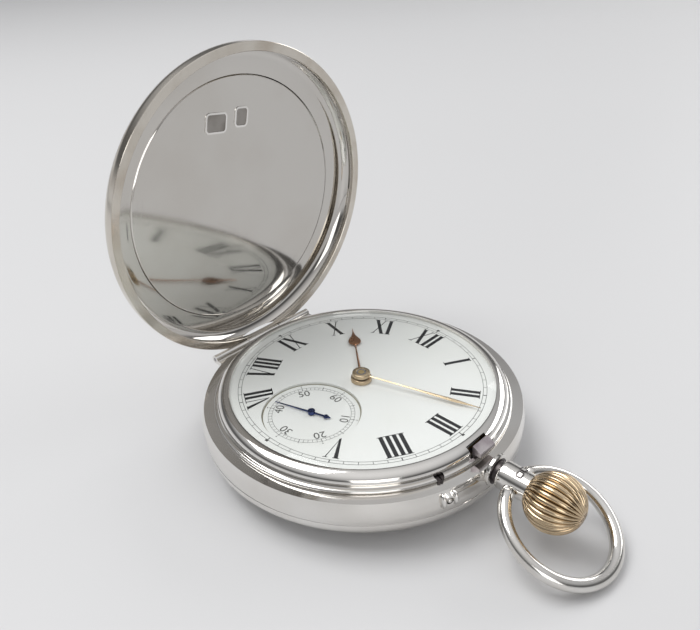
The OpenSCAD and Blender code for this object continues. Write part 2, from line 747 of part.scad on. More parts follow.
module lock_spring() {
  block_x = catch_in_x;
  color("slategray")
    union() {
      translate([0, catch_w / 2, 0])
        rotate([90, 0, 0])
          linear_extrude(catch_w)
            polygon([
              [block_x, stem_z + 1.62], [catch_neck_x, stem_z + 1.62],
              [catch_neck_x, ledge_z + lip_t + 0.3], [catch_nose_x, ledge_z + lip_t + 0.4],
              [catch_nose_x, catch_top - 1],
              [block_x + 0.4, catch_top], [block_x, catch_top]
            ]);
      // Legs down either side of the stem to the strip
      for (s = [-1, 1])
        translate([block_x, s > 0 ? 1.5 : -2, plate_z + 0.1]) cube([0.5, 0.5, stem_z + 1.7 - plate_z]);
      difference() {
        translate([0, 0, plate_z - 1.15])
          rotate([0, 0, 4])
            rotate_extrude(angle = spring_anchor)
              translate([spring_r - 0.15, 0]) square([0.42, 1.1]);
        rotate([0, 0, spring_anchor])
          translate([spring_r - 2.3, 0, joint_z + 1.35]) rotate([0, 90, 0]) cylinder(r = 0.31, h = 4);
      }
      translate([block_x, 1.5, plate_z - 1.15]) cube([0.5, 0.9, 1.35]);
    }
}

module lock_spring_screw() {
  color("slateblue")
    rotate([0, 0, spring_anchor])
      translate([0, 0, joint_z + 1.35])
        rotate([0, 90, 0])
          difference() {
            union() {
              translate([0, 0, spring_r - 0.45]) cylinder(r = 0.5, h = 0.3);
              translate([0, 0, spring_r - 0.3]) cylinder(r = 0.3, h = 3.1);
            }
            translate([-0.08, -1, spring_r - 0.5]) cube([0.16, 2, 0.15]);
          }
}

module lift_spring() {
  color("slategray")
    union() {
      translate([0, 0, plate_z - 0.6])
        rotate([0, 0, 142]) rotate_extrude(angle = 31) translate([seat_out_r + 0.55, 0]) square([0.35, 1]);
      translate([-(seat_out_r + 1), 2.6, plate_z - 0.6]) cube([0.35, 0.8, 2.05]);
    }
}

module set_pin() {
  color("silver")
    rotate([0, 0, set_pin_angle])
      translate([0, 0, pin_z])
        difference() {
          translate([pin_end_r, 0, 0])
            rotate([0, 90, 0]) cylinder(r = set_pin_r, h = case_r + 0.75 - pin_end_r);
          translate([pin_screw_r - 0.4, -1, 0.05]) cube([set_pin_travel + 0.8, 2, 1]);
        }
}

module set_pin_screw() {
  top = ledge_z + 0.5;
  color("slateblue")
    rotate([0, 0, set_pin_angle])
      translate([pin_screw_r, 0, 0])
        difference() {
          union() {
            disc(0.68, ledge_z + 0.02, top);
            disc(0.3, pin_z + 0.1, ledge_z + 0.1);
          }
          translate([-1, -0.1, top - 0.2]) cube([2, 0.2, 1]);
        }
}

module dial() {
  color("white")
    difference() {
      disc(dial_r, dial_z, dial_top);
      disc(1.5, dial_z - 1, dial_top + 1);
      disc_at(fourth_pos, seconds_r, dial_z - 1, dial_top + 1);
    }
}

module seconds_dial() {
  color("white")
    difference() {
      disc_at(fourth_pos, seconds_r - 0.02, dial_z, dial_top - seconds_sink);
      disc_at(fourth_pos, 0.45, dial_z - 1, dial_top + 1);
    }
}

// Blade of a hand along X: points of half width at distances from the middle
module blade(edge, h) {
  n = len(edge);
  linear_extrude(h)
    polygon(concat(edge, [for (i = [n - 1:-1:0]) [edge[i][0], -edge[i][1]]]));
}

module hour_hand() {
  z = dial_top + 0.4;
  l = hour_len;
  color("goldenrod")
    union() {
      difference() {
        disc(1.25, z - 0.35, z + 0.35);
        disc(1.05 + seat, z - 1, z + 1);
      }
      rotate([0, 0, hour_angle])
        translate([0, 0, z])
          difference() {
            blade([
              [1.15, 0.3], [l * 0.5, 0.24], [l * 0.6, 0.3], [l * 0.63, 0.75], [l * 0.68, 1.15],
              [l * 0.73, 1.2], [l * 0.77, 0.9], [l * 0.8, 0.42], [l * 0.85, 0.3], [l * 0.9, 0.2], [l, 0.04]
            ], 0.15);
            translate([l * 0.7, 0, -1]) cylinder(r = 0.42, h = 3);
          }
    }
}

module minute_hand() {
  z = dial_top + 1.1;
  l = minute_len;
  color("goldenrod")
    union() {
      difference() {
        disc(1.1, z - 0.15, z + 0.5);
        disc(cannon_r + seat, z - 1, z + 1);
      }
      rotate([0, 0, minute_angle])
        translate([0, 0, z])
          rotate([0, hand_droop, 0]) blade([
            [1, 0.24], [l * 0.55, 0.2], [l * 0.64, 0.24], [l * 0.66, 0.5], [l * 0.69, 0.62],
            [l * 0.72, 0.5], [l * 0.74, 0.24], [l * 0.8, 0.2], [l, 0.04]
          ], 0.15);
    }
}

module seconds_hand() {
  z = dial_top - 0.15;
  color("midnightblue")
    translate([fourth_pos[0], fourth_pos[1], 0])
      difference() {
        union() {
          disc(0.55, z - 0.12, z + 0.42);
          rotate([0, 0, seconds_angle])
            translate([0, 0, z])
              blade([
                [-3.2, 0.03], [-2.8, 0.2], [-2.5, 0.42], [-2.25, 0.4], [-2.05, 0.14], [0, 0.16],
                [second_len, 0.04]
              ], 0.13);
        }
        disc(0.2 + seat, z - 1, z + 0.31);
      }
}

module cannon_pinion() {
  color("slategray")
    union() {
      difference() {
        disc(cannon_r, work_z + 0.05, dial_top + 1.55);
        disc(centre_arbor_r + run, work_z - 1, dial_top + 3);
      }
      gear(cannon_n, cannon_m, 0.3, work_z + 0.05, 0.6);
    }
}

module hour_wheel() {
  color("khaki")
    union() {
      gear(hour_n, hour_m, 0.25, work_z + 0.4, hour_bore_r, hour_phase);
      difference() {
        disc(1.05, work_z + 0.4, dial_top + 0.75);
        disc(hour_bore_r, work_z, dial_top + 2);
      }
    }
}

module minute_wheel() {
  color("khaki")
    translate([minute_pos[0], minute_pos[1], 0])
      union() {
        gear(minute_n, cannon_m, 0.2, work_z + 0.1, 0.2 + run, minute_phase);
        gear(minute_pinion_n, hour_m, 0.38, work_z + 0.28, 0.2 + run, minute_phase);
      }
}

module setting_wheel() {
  color("khaki")
    translate([setting_pos[0], setting_pos[1], 0])
      gear(setting_n, cannon_m, 0.2, work_z + 0.1, 0.2 + run, mate(3, minute_n, minute_phase, setting_n));
}

// A flat bar between two points
module link(p, q, w) {
  translate(p) rotate(bearing(p, q)) translate([0, -w / 2]) square([norm(q - p), w]);
}

module setting_yoke() {
  color("slategray")
    difference() {
      union() {
        translate([0, 0, work_z + 0.12])
          linear_extrude(0.4) {
            link(yoke_pos, yoke_elbow, 1.1);
            link(yoke_elbow, yoke_finger, 0.9);
            link(yoke_elbow, yoke_tail, 0.9);
            translate(yoke_pos) circle(1);
            translate(yoke_elbow) circle(0.6);
            translate(yoke_finger) circle(0.52);
            translate(yoke_tail) circle(0.5);
          }
        disc_at(yoke_finger, 0.25, stem_z + 1.05, work_z + 0.3);
        disc_at(yoke_tail, 0.35, pin_z - 0.3, work_z + 0.3);
      }
      disc_at(yoke_pos, 0.2 + run, work_z - 1, work_z + 2);
    }
}

module crown_wheel() {
  color("silver")
    translate([crown_wheel_x, 0, 0])
      union() {
        gear(crown_wheel_n, wind_m, 0.6, bridge_z - 0.65, 0.6, 0);
        difference() {
          disc(1.2, bridge_z - 0.2, bridge_top + 0.2);
          disc(0.6, 0, 9);
        }
        difference() {
          disc(contrate_out, bridge_top + 0.15, bridge_top + 0.5);
          disc(0.6, 0, 9);
        }
        for (i = [0:contrate_n - 1])
          rotate([0, 0, i * 360 / contrate_n])
            translate([contrate_in, -contrate_w / 2, bridge_top + 0.4])
              cube([contrate_out - contrate_in - 0.06, contrate_w, 0.75]);
      }
}

module ratchet_wheel() {
  color("silver")
    translate([barrel_pos[0], barrel_pos[1], 0])
      gear(ratchet_n, wind_m, 0.6, bridge_z - 0.65, 0.91, ratchet_phase);
}

module click() {
  nib = barrel_pos + polar(wind_m * ratchet_n / 2 - 0.05, click_gap);
  heel = barrel_pos + polar(wind_m * ratchet_n / 2 + 1.1, click_gap);
  color("slategray")
    difference() {
      union() {
        translate([0, 0, bridge_z - 0.6])
          linear_extrude(0.5) {
            translate(click_pos) circle(1);
            link(click_pos, heel, 0.7);
            translate(heel) circle(0.4);
            link(heel, nib, 0.12);
          }
        disc_at(click_pos, 0.28, bridge_z - 0.3, bridge_z + 0.8);
      }
      translate([click_pos[0] - 2, click_pos[1] - 0.1, bridge_z - 0.7]) cube([4, 0.2, 0.25]);
    }
}

// An arbor with a thin pivot at each end
module arbor(r, z0, z1, pivot = 0.14, tip = 0.5) {
  union() {
    disc(pivot, z0 - tip, z0 + join);
    disc(r, z0, z1);
    disc(pivot, z1 - join, z1 + tip);
  }
}

// A spiral strip of thickness t from radius r0 to r1
module spiral(r0, r1, turns, t, z0, z1) {
  n = turns * 20;
  translate([0, 0, z0])
    linear_extrude(z1 - z0)
      polygon(concat(
        [for (i = [0:n]) polar(r0 + (r1 - r0) * i / n, 360 * turns * i / n)],
        [for (i = [n:-1:0]) polar(r0 + t + (r1 - r0) * i / n, 360 * turns * i / n)]
      ));
}

module barrel_drum() {
  color("gold")
    translate([barrel_pos[0], barrel_pos[1], 0])
      union() {
        gear(barrel_n, barrel_m, 0.5, barrel_z, drum_r - 0.5, 0);
        difference() {
          disc(drum_r, barrel_z, barrel_z + 2.1);
          disc(drum_r - 0.35, barrel_z + 0.3, barrel_z + 3);
          disc(0.95 + run, 0, 20);
        }
      }
}

module barrel_cover() {
  color("gold")
    translate([barrel_pos[0], barrel_pos[1], 0])
      difference() {
        disc(drum_r, barrel_z + 2.1, barrel_roof - 0.15);
        disc(0.95 + run, 0, 20);
      }
}

module barrel_arbor() {
  color("slategray")
    translate([barrel_pos[0], barrel_pos[1], 0])
      union() {
        disc(0.9, bridge_z - 0.65, bridge_top + 0.3);
        disc(0.95, bridge_top + 0.2, barrel_z + 0.35);
        disc(1.4, barrel_z + 0.35, barrel_z + 2.05);
        disc(0.95, barrel_z + 2, barrel_roof - 0.1);
        disc(0.5, barrel_roof - 0.2, barrel_roof + 0.25);
      }
}

module mainspring() {
  color("steelblue")
    translate([barrel_pos[0], barrel_pos[1], 0])
      spiral(1.41, drum_r - 0.35 - 0.25, main_turns, 0.2, barrel_z + 0.4, barrel_z + 2);
}

module ratchet_screw() {
  color("slateblue")
    translate([barrel_pos[0], barrel_pos[1], 0])
      slotted_head(2, bridge_z - 1.05, bridge_z - 0.66);
}

module crown_wheel_screw() {
  color("slateblue")
    translate([crown_wheel_x, 0, 0])
      union() {
        slotted_head(1.4, bridge_z - 1.05, bridge_z - 0.68);
        disc(0.55, bridge_z - 0.7, bridge_top + 0.9);
      }
}

// A screw head whose slot faces the back
module slotted_head(r, z0, z1) {
  difference() {
    disc(r, z0, z1);
    translate([-r - 1, -0.12, z0 - 0.1]) cube([2 * r + 2, 0.24, 0.28]);
  }
}

module main_plate() {
  color("gold")
    difference() {
      union() {
        disc(plate_r, plate_z + shelf_h + 0.02, plate_top);
        disc(plate_low_r, plate_z, plate_z + shelf_h + 0.1);
        for (p = pillar_at) disc_at(p, pillar_r, bridge_top, plate_z + join);
      }
      // Recesses for the motion work, with walls left between them
      disc(hour_m * (hour_n / 2 + 1.6), work_z, plate_top + 1);
      disc_at(minute_pos, cannon_m * (minute_n / 2 + 1.6), work_z, plate_top + 1);
      disc_at(setting_pos, cannon_m * (setting_n / 2 + 1.6), work_z, plate_top + 1);
      translate([0, 0, work_z])
        linear_extrude(2) {
          link(yoke_pos, yoke_elbow, 2.4);
          link(yoke_elbow, yoke_finger, 3.4);
          link(yoke_elbow, yoke_tail, 2.8);
          translate(yoke_pos) circle(1.5);
          translate(yoke_elbow) circle(1.6);
          translate(yoke_finger) circle(1.6);
          translate(yoke_tail) circle(1.5);
        }
      disc_at(yoke_tail + [-0.2, 0.45], 1.05, pin_z - 0.6, plate_top + 1);
      disc_at(barrel_pos, drum_r + 0.65, plate_z - 1, barrel_roof);
      disc_at(barrel_pos, 0.5 + run, 0, 20);
      // Channel of the stem and its wheels
      stem_rod(0.45 + run, clutch_x - 2.4, clutch_x - 0.1);
      stem_rod(wind_pinion_r + air, clutch_x - 1.5, clutch_x + 4);
      stem_rod(1.15 + run, clutch_x + 3.9, plate_r + 1);
      translate([plate_r - 0.35, -3.6, plate_z - 1]) cube([2, 5.7, 5]);
      // Way of the yoke's finger down to the clutch
      translate([yoke_finger[0] - 1.3, yoke_finger[1] - 0.5, stem_z]) cube([1.75, 1.3, 2]);
      rotate([0, 0, set_pin_angle])
        translate([pin_end_r - 2, 0, pin_z]) rotate([0, 90, 0]) cylinder(r = set_pin_r + run, h = 5);
      // Holes of the arbors
      disc(centre_arbor_r + run, 0, 20);
      disc_at(third_pos, 0.14 + run, plate_z - 1, plate_z + 0.6);
      disc_at(fourth_pos, 0.2 + run, plate_z - 1, plate_top + 1);
      disc_at(escape_pos, 0.14 + run, plate_z - 1, plate_z + 0.6);
      disc_at(pallet_pos, 0.14 + run, plate_z - 1, plate_z + 0.6);
      disc_at(balance_pos, 0.14 + run, plate_z - 1, plate_z + 0.6);
      disc_at(crown_wheel_pos, 0.56, 0, plate_z + 0.1);
      for (p = pillar_at) disc_at(p, 0.4 + seat, 0, bridge_top + 1.6);
      for (p = case_screw_at) disc_at(p, 0.4 + seat, 0, plate_z + 1.3);
      disc_at(cock_foot, 0.4 + seat, 0, plate_z + 1.1);
      disc_at(pallet_foot, 0.3 + seat, 0, plate_z + 1.1);
    }
  // Studs that the dial work turns on
  color("gold")
    for (p = [minute_pos, setting_pos, yoke_pos]) disc_at(p, 0.2, work_z - 0.1, work_z + 0.6);
}

module three_quarter_plate() {
  color("gold")
    difference() {
      disc(plate_low_r - 0.4, bridge_z, bridge_top);
      disc_at(balance_pos, balance_r + 0.6, 0, 20);
      disc_at(cock_foot, 2.4, 0, 20);
      foot_window();
      disc(0.3 + run, 0, 20);
      disc_at(barrel_pos, 0.9 + run, 0, 20);
      disc_at(crown_wheel_pos, 1.2 + run, 0, 20);
      disc_at(third_pos, 0.14 + run, 0, 20);
      disc_at(fourth_pos, 0.14 + run, 0, 20);
      disc_at(escape_pos, 0.14 + run, 0, 20);
      disc_at(click_pos, 0.3, 0, 20);
      for (p = pillar_at) disc_at(p, 0.4 + seat, 0, 20);
    }
}

// Cut of the plate between the balance, its cock and the edge
module foot_window() {
  translate([0, 0, bridge_z - 1])
    linear_extrude(4)
      polygon([
        balance_pos, cock_foot + [2.4, 0], cock_foot + cal * [-10, 3], balance_pos + cal * [-12, -4]
      ]);
}

module plate_screws() {
  color("slateblue")
    for (p = pillar_at)
      translate([p[0], p[1], 0])
        union() {
          slotted_head(0.9, bridge_z - 0.45, bridge_z - 0.01);
          disc(0.4, bridge_z - 0.1, bridge_top + 1.5);
        }
}

module case_screws() {
  color("slateblue")
    for (p = case_screw_at)
      translate([p[0], p[1], 0])
        union() {
          slotted_head(1.2, plate_z - 0.45, plate_z - 0.01);
          disc(0.4, plate_z - 0.1, plate_z + 1.2);
        }
}

module centre_wheel() {
  color("gold")
    union() {
      crossed_gear(centre_n, centre_m, 0.3, bridge_top + 0.2, 5, 0, 0.7, 1.6);
      gear(centre_pinion_n, barrel_m, 0.85, bridge_top + 0.75, 0, mate(240, barrel_n, 0, centre_pinion_n));
      disc(0.75, bridge_top + 0.15, bridge_top + 1.9);
      disc(0.3, bridge_z + 0.1, bridge_top + 0.3);
      disc(centre_arbor_r, bridge_top + 0.2, dial_top + 1.55);
    }
}

module third_wheel() {
  a = bearing([0, 0], third_pos);
  color("gold")
    translate([third_pos[0], third_pos[1], 0])
      union() {
        crossed_gear(third_n, third_m, 0.25, bridge_top + 1.25, 5, 0, 0.6, 1.3);
        gear(third_pinion_n, centre_m, 0.6, bridge_top + 0.1, 0, mate(a, centre_n, 0, third_pinion_n));
        arbor(0.35, bridge_top + 0.1, plate_z - 0.05);
      }
}

module fourth_wheel() {
  a = bearing(third_pos, fourth_pos);
  color("gold")
    translate([fourth_pos[0], fourth_pos[1], 0])
      union() {
        crossed_gear(fourth_n, fourth_m, 0.3, bridge_top + 0.75, 5, 0, 0.55, 1.2);
        gear(fourth_pinion_n, third_m, 0.6, bridge_top + 1.15, 0, mate(a, third_n, 0, fourth_pinion_n));
        arbor(0.35, bridge_top + 0.1, plate_z - 0.05);
        disc(0.2, plate_z - 0.1, dial_top + 0.15);
      }
}

module escape_wheel() {
  color("gold")
    translate([escape_pos[0], escape_pos[1], 0])
      union() {
        translate([0, 0, plate_z - 0.48])
          linear_extrude(0.25)
            difference() {
              rotate([0, 0, lever_angle + pallet_span + 6])
                polygon([for (i = [0:escape_n - 1], k = [[0.8, -4.6], [0.985, -1.4], [1, 0], [0.8, -2]])
                  polar(k[0] * escape_r, k[1] + i * 360 / escape_n)]);
              for (k = [0:3]) polygon(window(0.9, escape_r * 0.65, k * 90 + 14, k * 90 + 76));
            }
        gear(escape_pinion_n, fourth_m, 0.5, bridge_top + 0.65, 0, mate(150, fourth_n, 0, escape_pinion_n));
        arbor(0.3, bridge_top + 0.1, plate_z - 0.05);
      }
}

module pallet_lever() {
  z = plate_z - 0.5;
  fork = pallet_pos + polar(fork_dist - roller_reach, lever_angle);
  entry = escape_pos + polar(escape_r, lever_angle + pallet_span);
  leave = escape_pos + polar(escape_r, lever_angle - pallet_span);
  color("slategray")
    union() {
      translate([0, 0, z])
        linear_extrude(0.2)
          difference() {
            union() {
              link(pallet_pos, fork + polar(0.2, lever_angle), 0.5);
              translate(fork) rotate(lever_angle) translate([-0.35, -0.4]) square([0.55, 0.8]);
            }
            translate(fork) rotate(lever_angle) translate([-0.14, -0.16]) square([1, 0.32]);
          }
      translate([0, 0, z])
        linear_extrude(0.35) {
          link(pallet_pos, entry + polar(0.25, lever_angle + pallet_span), 0.55);
          link(pallet_pos, leave + polar(0.25, lever_angle - pallet_span), 0.55);
          translate(pallet_pos) circle(0.6);
        }
      for (p = [[entry, pallet_span], [leave, -pallet_span]])
        translate([p[0][0], p[0][1], z])
          rotate([0, 0, lever_angle + p[1]])
            translate([-0.12, -0.2, 0]) cube([0.75, 0.4, 0.4]);
      translate([pallet_pos[0], pallet_pos[1], 0]) arbor(0.22, plate_z - 0.8, plate_z - 0.08, 0.12, 0.45);
    }
}

module pallet_cock() {
  color("gold")
    difference() {
      union() {
        translate([0, 0, plate_z - 1.4])
          linear_extrude(0.55) {
            link(pallet_pos, pallet_foot, 1.5);
            translate(pallet_pos) circle(0.9);
            translate(pallet_foot) circle(1.3);
          }
        disc_at(pallet_foot, 1.3, plate_z - 1.4, plate_z);
      }
      disc_at(pallet_pos, 0.14 + run, 0, 20);
      disc_at(pallet_foot, 0.3 + seat, 0, 20);
    }
}

module balance_wheel() {
  z = bridge_top - 0.3;
  color("gold")
    translate([balance_pos[0], balance_pos[1], 0])
      union() {
        difference() {
          disc(balance_r - 0.35, z, z + 0.6);
          disc(balance_r - 0.85, z - 1, z + 2);
        }
        difference() {
          translate([-0.4, -balance_r + 0.6, z + 0.15]) cube([0.8, 2 * balance_r - 1.2, 0.3]);
          disc(0.4, z - 1, z + 2);
        }
        difference() {
          disc(0.9, z + 0.1, z + 0.5);
          disc(0.4, z - 1, z + 2);
        }
        for (i = [0:13])
          rotate([0, 0, i * 360 / 14 + 13])
            translate([balance_r - 0.5, 0, z + 0.3])
              rotate([0, 90, 0]) cylinder(r = 0.27, h = 0.5, $fn = 24);
      }
}

module balance_staff() {
  color("slategray")
    translate([balance_pos[0], balance_pos[1], 0])
      union() {
        arbor(0.39, bridge_z - 0.2, plate_z - 0.2, 0.12, 0.45);
        disc(0.75, bridge_z + 0.15, bridge_z + 0.5);
        disc(1.25, plate_z - 0.95, plate_z - 0.7);
        translate(concat(polar(roller_reach, lever_angle + 180), [plate_z - 0.75]))
          cylinder(r = roller_pin_r, h = 0.55);
      }
}

module hairspring() {
  color("steelblue")
    translate([balance_pos[0], balance_pos[1], 0])
      spiral(0.76, 3.3, hair_turns, 0.1, bridge_z + 0.2, bridge_z + 0.45);
}

module balance_cock() {
  color("gold")
    difference() {
      union() {
        translate([0, 0, bridge_z - 1.4])
          linear_extrude(0.85) {
            link(balance_pos, cock_foot, 2.2);
            translate(balance_pos) circle(2.2);
            translate(cock_foot) circle(2.1);
          }
        disc_at(cock_foot, 1.9, bridge_z - 1, plate_z);
      }
      disc_at(balance_pos, 0.14 + run, 0, 20);
      disc_at(cock_foot, 0.4 + seat, 0, 20);
    }
}

module cock_screws() {
  color("slateblue") {
    translate([cock_foot[0], cock_foot[1], 0])
      union() {
        slotted_head(1, bridge_z - 1.78, bridge_z - 1.41);
        disc(0.4, bridge_z - 1.5, plate_z + 1);
      }
    translate([pallet_foot[0], pallet_foot[1], 0])
      union() {
        slotted_head(0.7, plate_z - 1.75, plate_z - 1.41);
        disc(0.3, plate_z - 1.5, plate_z + 1);
      }
  }
}

module regulator() {
  color("slategray")
    translate([balance_pos[0], balance_pos[1], 0])
      difference() {
        translate([0, 0, bridge_z - 0.53])
          linear_extrude(0.3) {
            circle(1.3);
            rotate(40) translate([0, -0.3]) square([3.6, 0.6]);
            rotate(225) translate([0, -0.2]) square([4.6, 0.4]);
          }
        disc(0.8, 0, 20);
      }
}

module jewels() {
  color("crimson")
    for (p = [balance_pos, escape_pos])
      translate([p[0], p[1], p == balance_pos ? bridge_z - 1.75 : bridge_z - 0.34])
        difference() {
          cylinder(r = 0.75, h = 0.32);
          translate([0, 0, -1]) cylinder(r = 0.15, h = 3);
        }
}

case_band();
pendant();
bezel();
crystal();
front_lid();
front_hinge_pin();
back_cover();
back_hinge_pin();
cuvette();
cuvette_hinge_pin();
bow();
crown();
crown_stem();
lock_spring();
lock_spring_screw();
lift_spring();
set_pin();
set_pin_screw();
dial();
seconds_dial();
hour_hand();
minute_hand();
seconds_hand();
cannon_pinion();
hour_wheel();
minute_wheel();
setting_wheel();
setting_yoke();
winding_stem();
winding_pinion();
sliding_clutch();
crown_wheel();
ratchet_wheel();
ratchet_screw();
crown_wheel_screw();
click();
barrel_drum();
barrel_cover();
barrel_arbor();
mainspring();
main_plate();
three_quarter_plate();
plate_screws();
case_screws();
centre_wheel();
third_wheel();
fourth_wheel();
escape_wheel();
pallet_lever();
pallet_cock();
balance_wheel();
balance_staff();
hairspring();
balance_cock();
regulator();
cock_screws();
jewels();
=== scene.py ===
import math

import bmesh
import bpy
from mathutils import Matrix, Vector


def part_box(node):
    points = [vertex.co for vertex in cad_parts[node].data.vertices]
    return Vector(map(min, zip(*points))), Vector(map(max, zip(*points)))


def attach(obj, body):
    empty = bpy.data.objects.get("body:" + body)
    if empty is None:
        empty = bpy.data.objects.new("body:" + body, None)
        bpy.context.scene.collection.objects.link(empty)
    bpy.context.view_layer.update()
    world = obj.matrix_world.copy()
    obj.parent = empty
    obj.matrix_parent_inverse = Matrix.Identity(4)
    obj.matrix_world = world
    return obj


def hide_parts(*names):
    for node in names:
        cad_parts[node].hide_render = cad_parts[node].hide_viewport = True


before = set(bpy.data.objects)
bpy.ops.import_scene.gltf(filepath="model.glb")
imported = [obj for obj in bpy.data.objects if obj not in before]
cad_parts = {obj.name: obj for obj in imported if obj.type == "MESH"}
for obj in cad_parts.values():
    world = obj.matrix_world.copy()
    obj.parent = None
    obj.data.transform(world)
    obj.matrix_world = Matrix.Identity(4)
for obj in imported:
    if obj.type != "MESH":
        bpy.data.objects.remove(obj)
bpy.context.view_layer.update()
MM = 0.001
CIRCLE = 2 * math.pi


def low(node):
    """Lowest corner of a CAD node in millimetres."""
    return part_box(node)[0] / MM


def high(node):
    """Highest corner of a CAD node in millimetres."""
    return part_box(node)[1] / MM


# Driving sizes, read from the frame, in millimetres
DIAL_TOP = high("dial").z
DIAL_R = high("dial").x
SMALL_TOP = high("seconds_dial").z
SMALL_R = (high("seconds_dial").x - low("seconds_dial").x) / 2
SMALL_Y = (high("seconds_dial").y + low("seconds_dial").y) / 2
HINGE_X = (low("front_hinge_pin").x + high("front_hinge_pin").x) / 2
LEDGE_Z = (low("front_hinge_pin").z + high("front_hinge_pin").z) / 2
STEM_Z = (high("crown").z + low("crown").z) / 2
BEAD_R = high("bezel").y
LIP_R = BEAD_R + 0.19
LID_R = (high("front_lid").y - low("front_lid").y) / 2
MOUTH_X = high("pendant").x
SPRING_FOOT = low("lock_spring").z
CROWN_X = MOUTH_X + 3.2
APERTURE_R = DIAL_R - 0.42


def polar(radius, degrees):
    """The point (x, y) at a radius and an angle in degrees."""
    angle = math.radians(degrees)
    return radius * math.cos(angle), radius * math.sin(angle)


def arc(cx, cy, rx, ry, first, last, count):
    """Points of an elliptic arc, angles in degrees."""
    turns = [math.radians(first + (last - first) * i / count) for i in range(count + 1)]
    return [(cx + rx * math.cos(a), cy + ry * math.sin(a)) for a in turns]


# Meshes
def add_mesh(name, points, faces, materials, smooth=None, which=None):
    """A mesh object from points in millimetres.

    smooth is the angle up to which edges are shaded round. which gives the number of the material of
    each face.
    """
    mesh = bpy.data.meshes.new(name)
    mesh.from_pydata([Vector(p) * MM for p in points], [], faces)
    for material in materials if isinstance(materials, list) else [materials]:
        mesh.materials.append(material)
    if which:
        for polygon in mesh.polygons:
            polygon.material_index = which(polygon.index)
    mesh.validate()
    obj = bpy.data.objects.new(name, mesh)
    bpy.context.scene.collection.objects.link(obj)
    shade_round(obj, smooth)
    return obj


def shade_round(obj, smooth):
    """Shades a piece round, apart from edges sharper than the angle smooth."""
    if smooth is not None:
        obj.data.shade_smooth()
        obj.data.set_sharp_from_angle(angle=math.radians(smooth))


def lathe_points(profile, steps):
    """Points and faces of a closed profile of (radius, height) turned about Z."""
    points, faces = [], []
    count = len(profile)
    for i in range(steps):
        c, s = math.cos(CIRCLE * i / steps), math.sin(CIRCLE * i / steps)
        points += [(r * c, r * s, z) for r, z in profile]
    for i in range(steps):
        a, b = i * count, (i + 1) % steps * count
        for k in range(count):
            n = (k + 1) % count
            faces.append((a + k, b + k, b + n, a + n))
    return points, faces


def merge_points(obj):
    """Joins points that lie on each other, such as those on a lathe's axis."""
    work = bmesh.new()
    work.from_mesh(obj.data)
    bmesh.ops.remove_doubles(work, verts=work.verts, dist=0.001 * MM)
    bmesh.ops.recalc_face_normals(work, faces=work.faces)
    work.to_mesh(obj.data)
    work.free()


def cut_away(obj, tools):
    """Takes the shapes of the tools out of a piece."""
    for tool in tools:
        change = obj.modifiers.new("cut", "BOOLEAN")
        change.operation = "DIFFERENCE"
        change.solver = "EXACT"
        change.object = tool
    bpy.context.view_layer.update()
    graph = bpy.context.evaluated_depsgraph_get()
    mesh = bpy.data.meshes.new_from_object(obj.evaluated_get(graph))
    obj.modifiers.clear()
    obj.data = mesh
    for tool in tools:
        bpy.data.objects.remove(tool)


def rod_tool(start, end, radius, steps=48):
    """A round cutting tool between two points."""
    axis = Vector(end) - Vector(start)
    turn = axis.to_track_quat("Z", "Y").to_matrix()
    points = [Vector(start) + turn @ Vector((*polar(radius, 360 * i / steps), h))
              for h in (0, axis.length) for i in range(steps)]
    faces = [tuple(reversed(range(steps))), tuple(range(steps, 2 * steps))]
    faces += [(i, (i + 1) % steps, steps + (i + 1) % steps, steps + i) for i in range(steps)]
    return add_mesh("tool", points, faces, [])


def block_points(first, last):
    """Corners and faces of a block between its lowest and highest corner."""
    points = [(x, y, z) for z in (first[2], last[2]) for y in (first[1], last[1])
              for x in (first[0], last[0])]
    return points, [(0, 2, 3, 1), (4, 5, 7, 6), (0, 1, 5, 4), (2, 6, 7, 3), (0, 4, 6, 2), (1, 3, 7, 5)]


def prism_points(outline, y0, y1):
    """A closed outline of (x, z) drawn out along Y."""
    count = len(outline)
    points = [(x, y, z) for y in (y0, y1) for x, z in outline]
    faces = [tuple(range(count)), tuple(reversed(range(count, 2 * count)))]
    faces += [(i, i + count, (i + 1) % count + count, (i + 1) % count) for i in range(count)]
    return points, faces


def joined(shapes):
    """One list of points and faces from several."""
    points, faces = [], []
    for more, sides in shapes:
        first = len(points)
        points += more
        faces += [tuple(first + k for k in face) for face in sides]
    return points, faces


def soften(obj, width):
    """Rounds the edges of a piece a little."""
    change = obj.modifiers.new("edges", "BEVEL")
    change.width = width * MM
    change.segments = 2
    change.limit_method = "ANGLE"
    change.angle_limit = math.radians(35)


def tube_points(path, radii, sides):
    """A round tube along a path with a radius at each of its points."""
    points, faces = [], []
    for i, (p, r) in enumerate(zip(path, radii)):
        ahead = Vector(path[min(i + 1, len(path) - 1)]) - Vector(path[max(i - 1, 0)])
        side = ahead.normalized().cross(Vector((0, 0, 1))).normalized()
        top = side.cross(ahead.normalized())
        for k in range(sides):
            a = CIRCLE * k / sides
            points.append(Vector(p) + (side * math.cos(a) + top * math.sin(a)) * r)
    for i in range(len(path) - 1):
        for k in range(sides):
            n = (k + 1) % sides
            faces.append((i * sides + k, (i + 1) * sides + k, (i + 1) * sides + n, i * sides + n))
    last = (len(path) - 1) * sides
    return points, faces + [tuple(range(sides)), tuple(last + k for k in reversed(range(sides)))]


def dress(obj, body, slot, *nodes):
    """Makes a piece ride on a body and hides the CAD nodes that it stands for. The slot is not used."""
    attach(obj, body)
    if nodes:
        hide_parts(*nodes)
    return obj


def flat_shapes(name, loops, z, material):
    """Thin printing: each loop of (x, y) is one flat face at height z."""
    points, faces = [], []
    for loop in loops:
        first = len(points)
        points += [(x, y, z) for x, y in loop]
        faces.append(tuple(range(first, first + len(loop))))
    return add_mesh(name, points, faces, material)


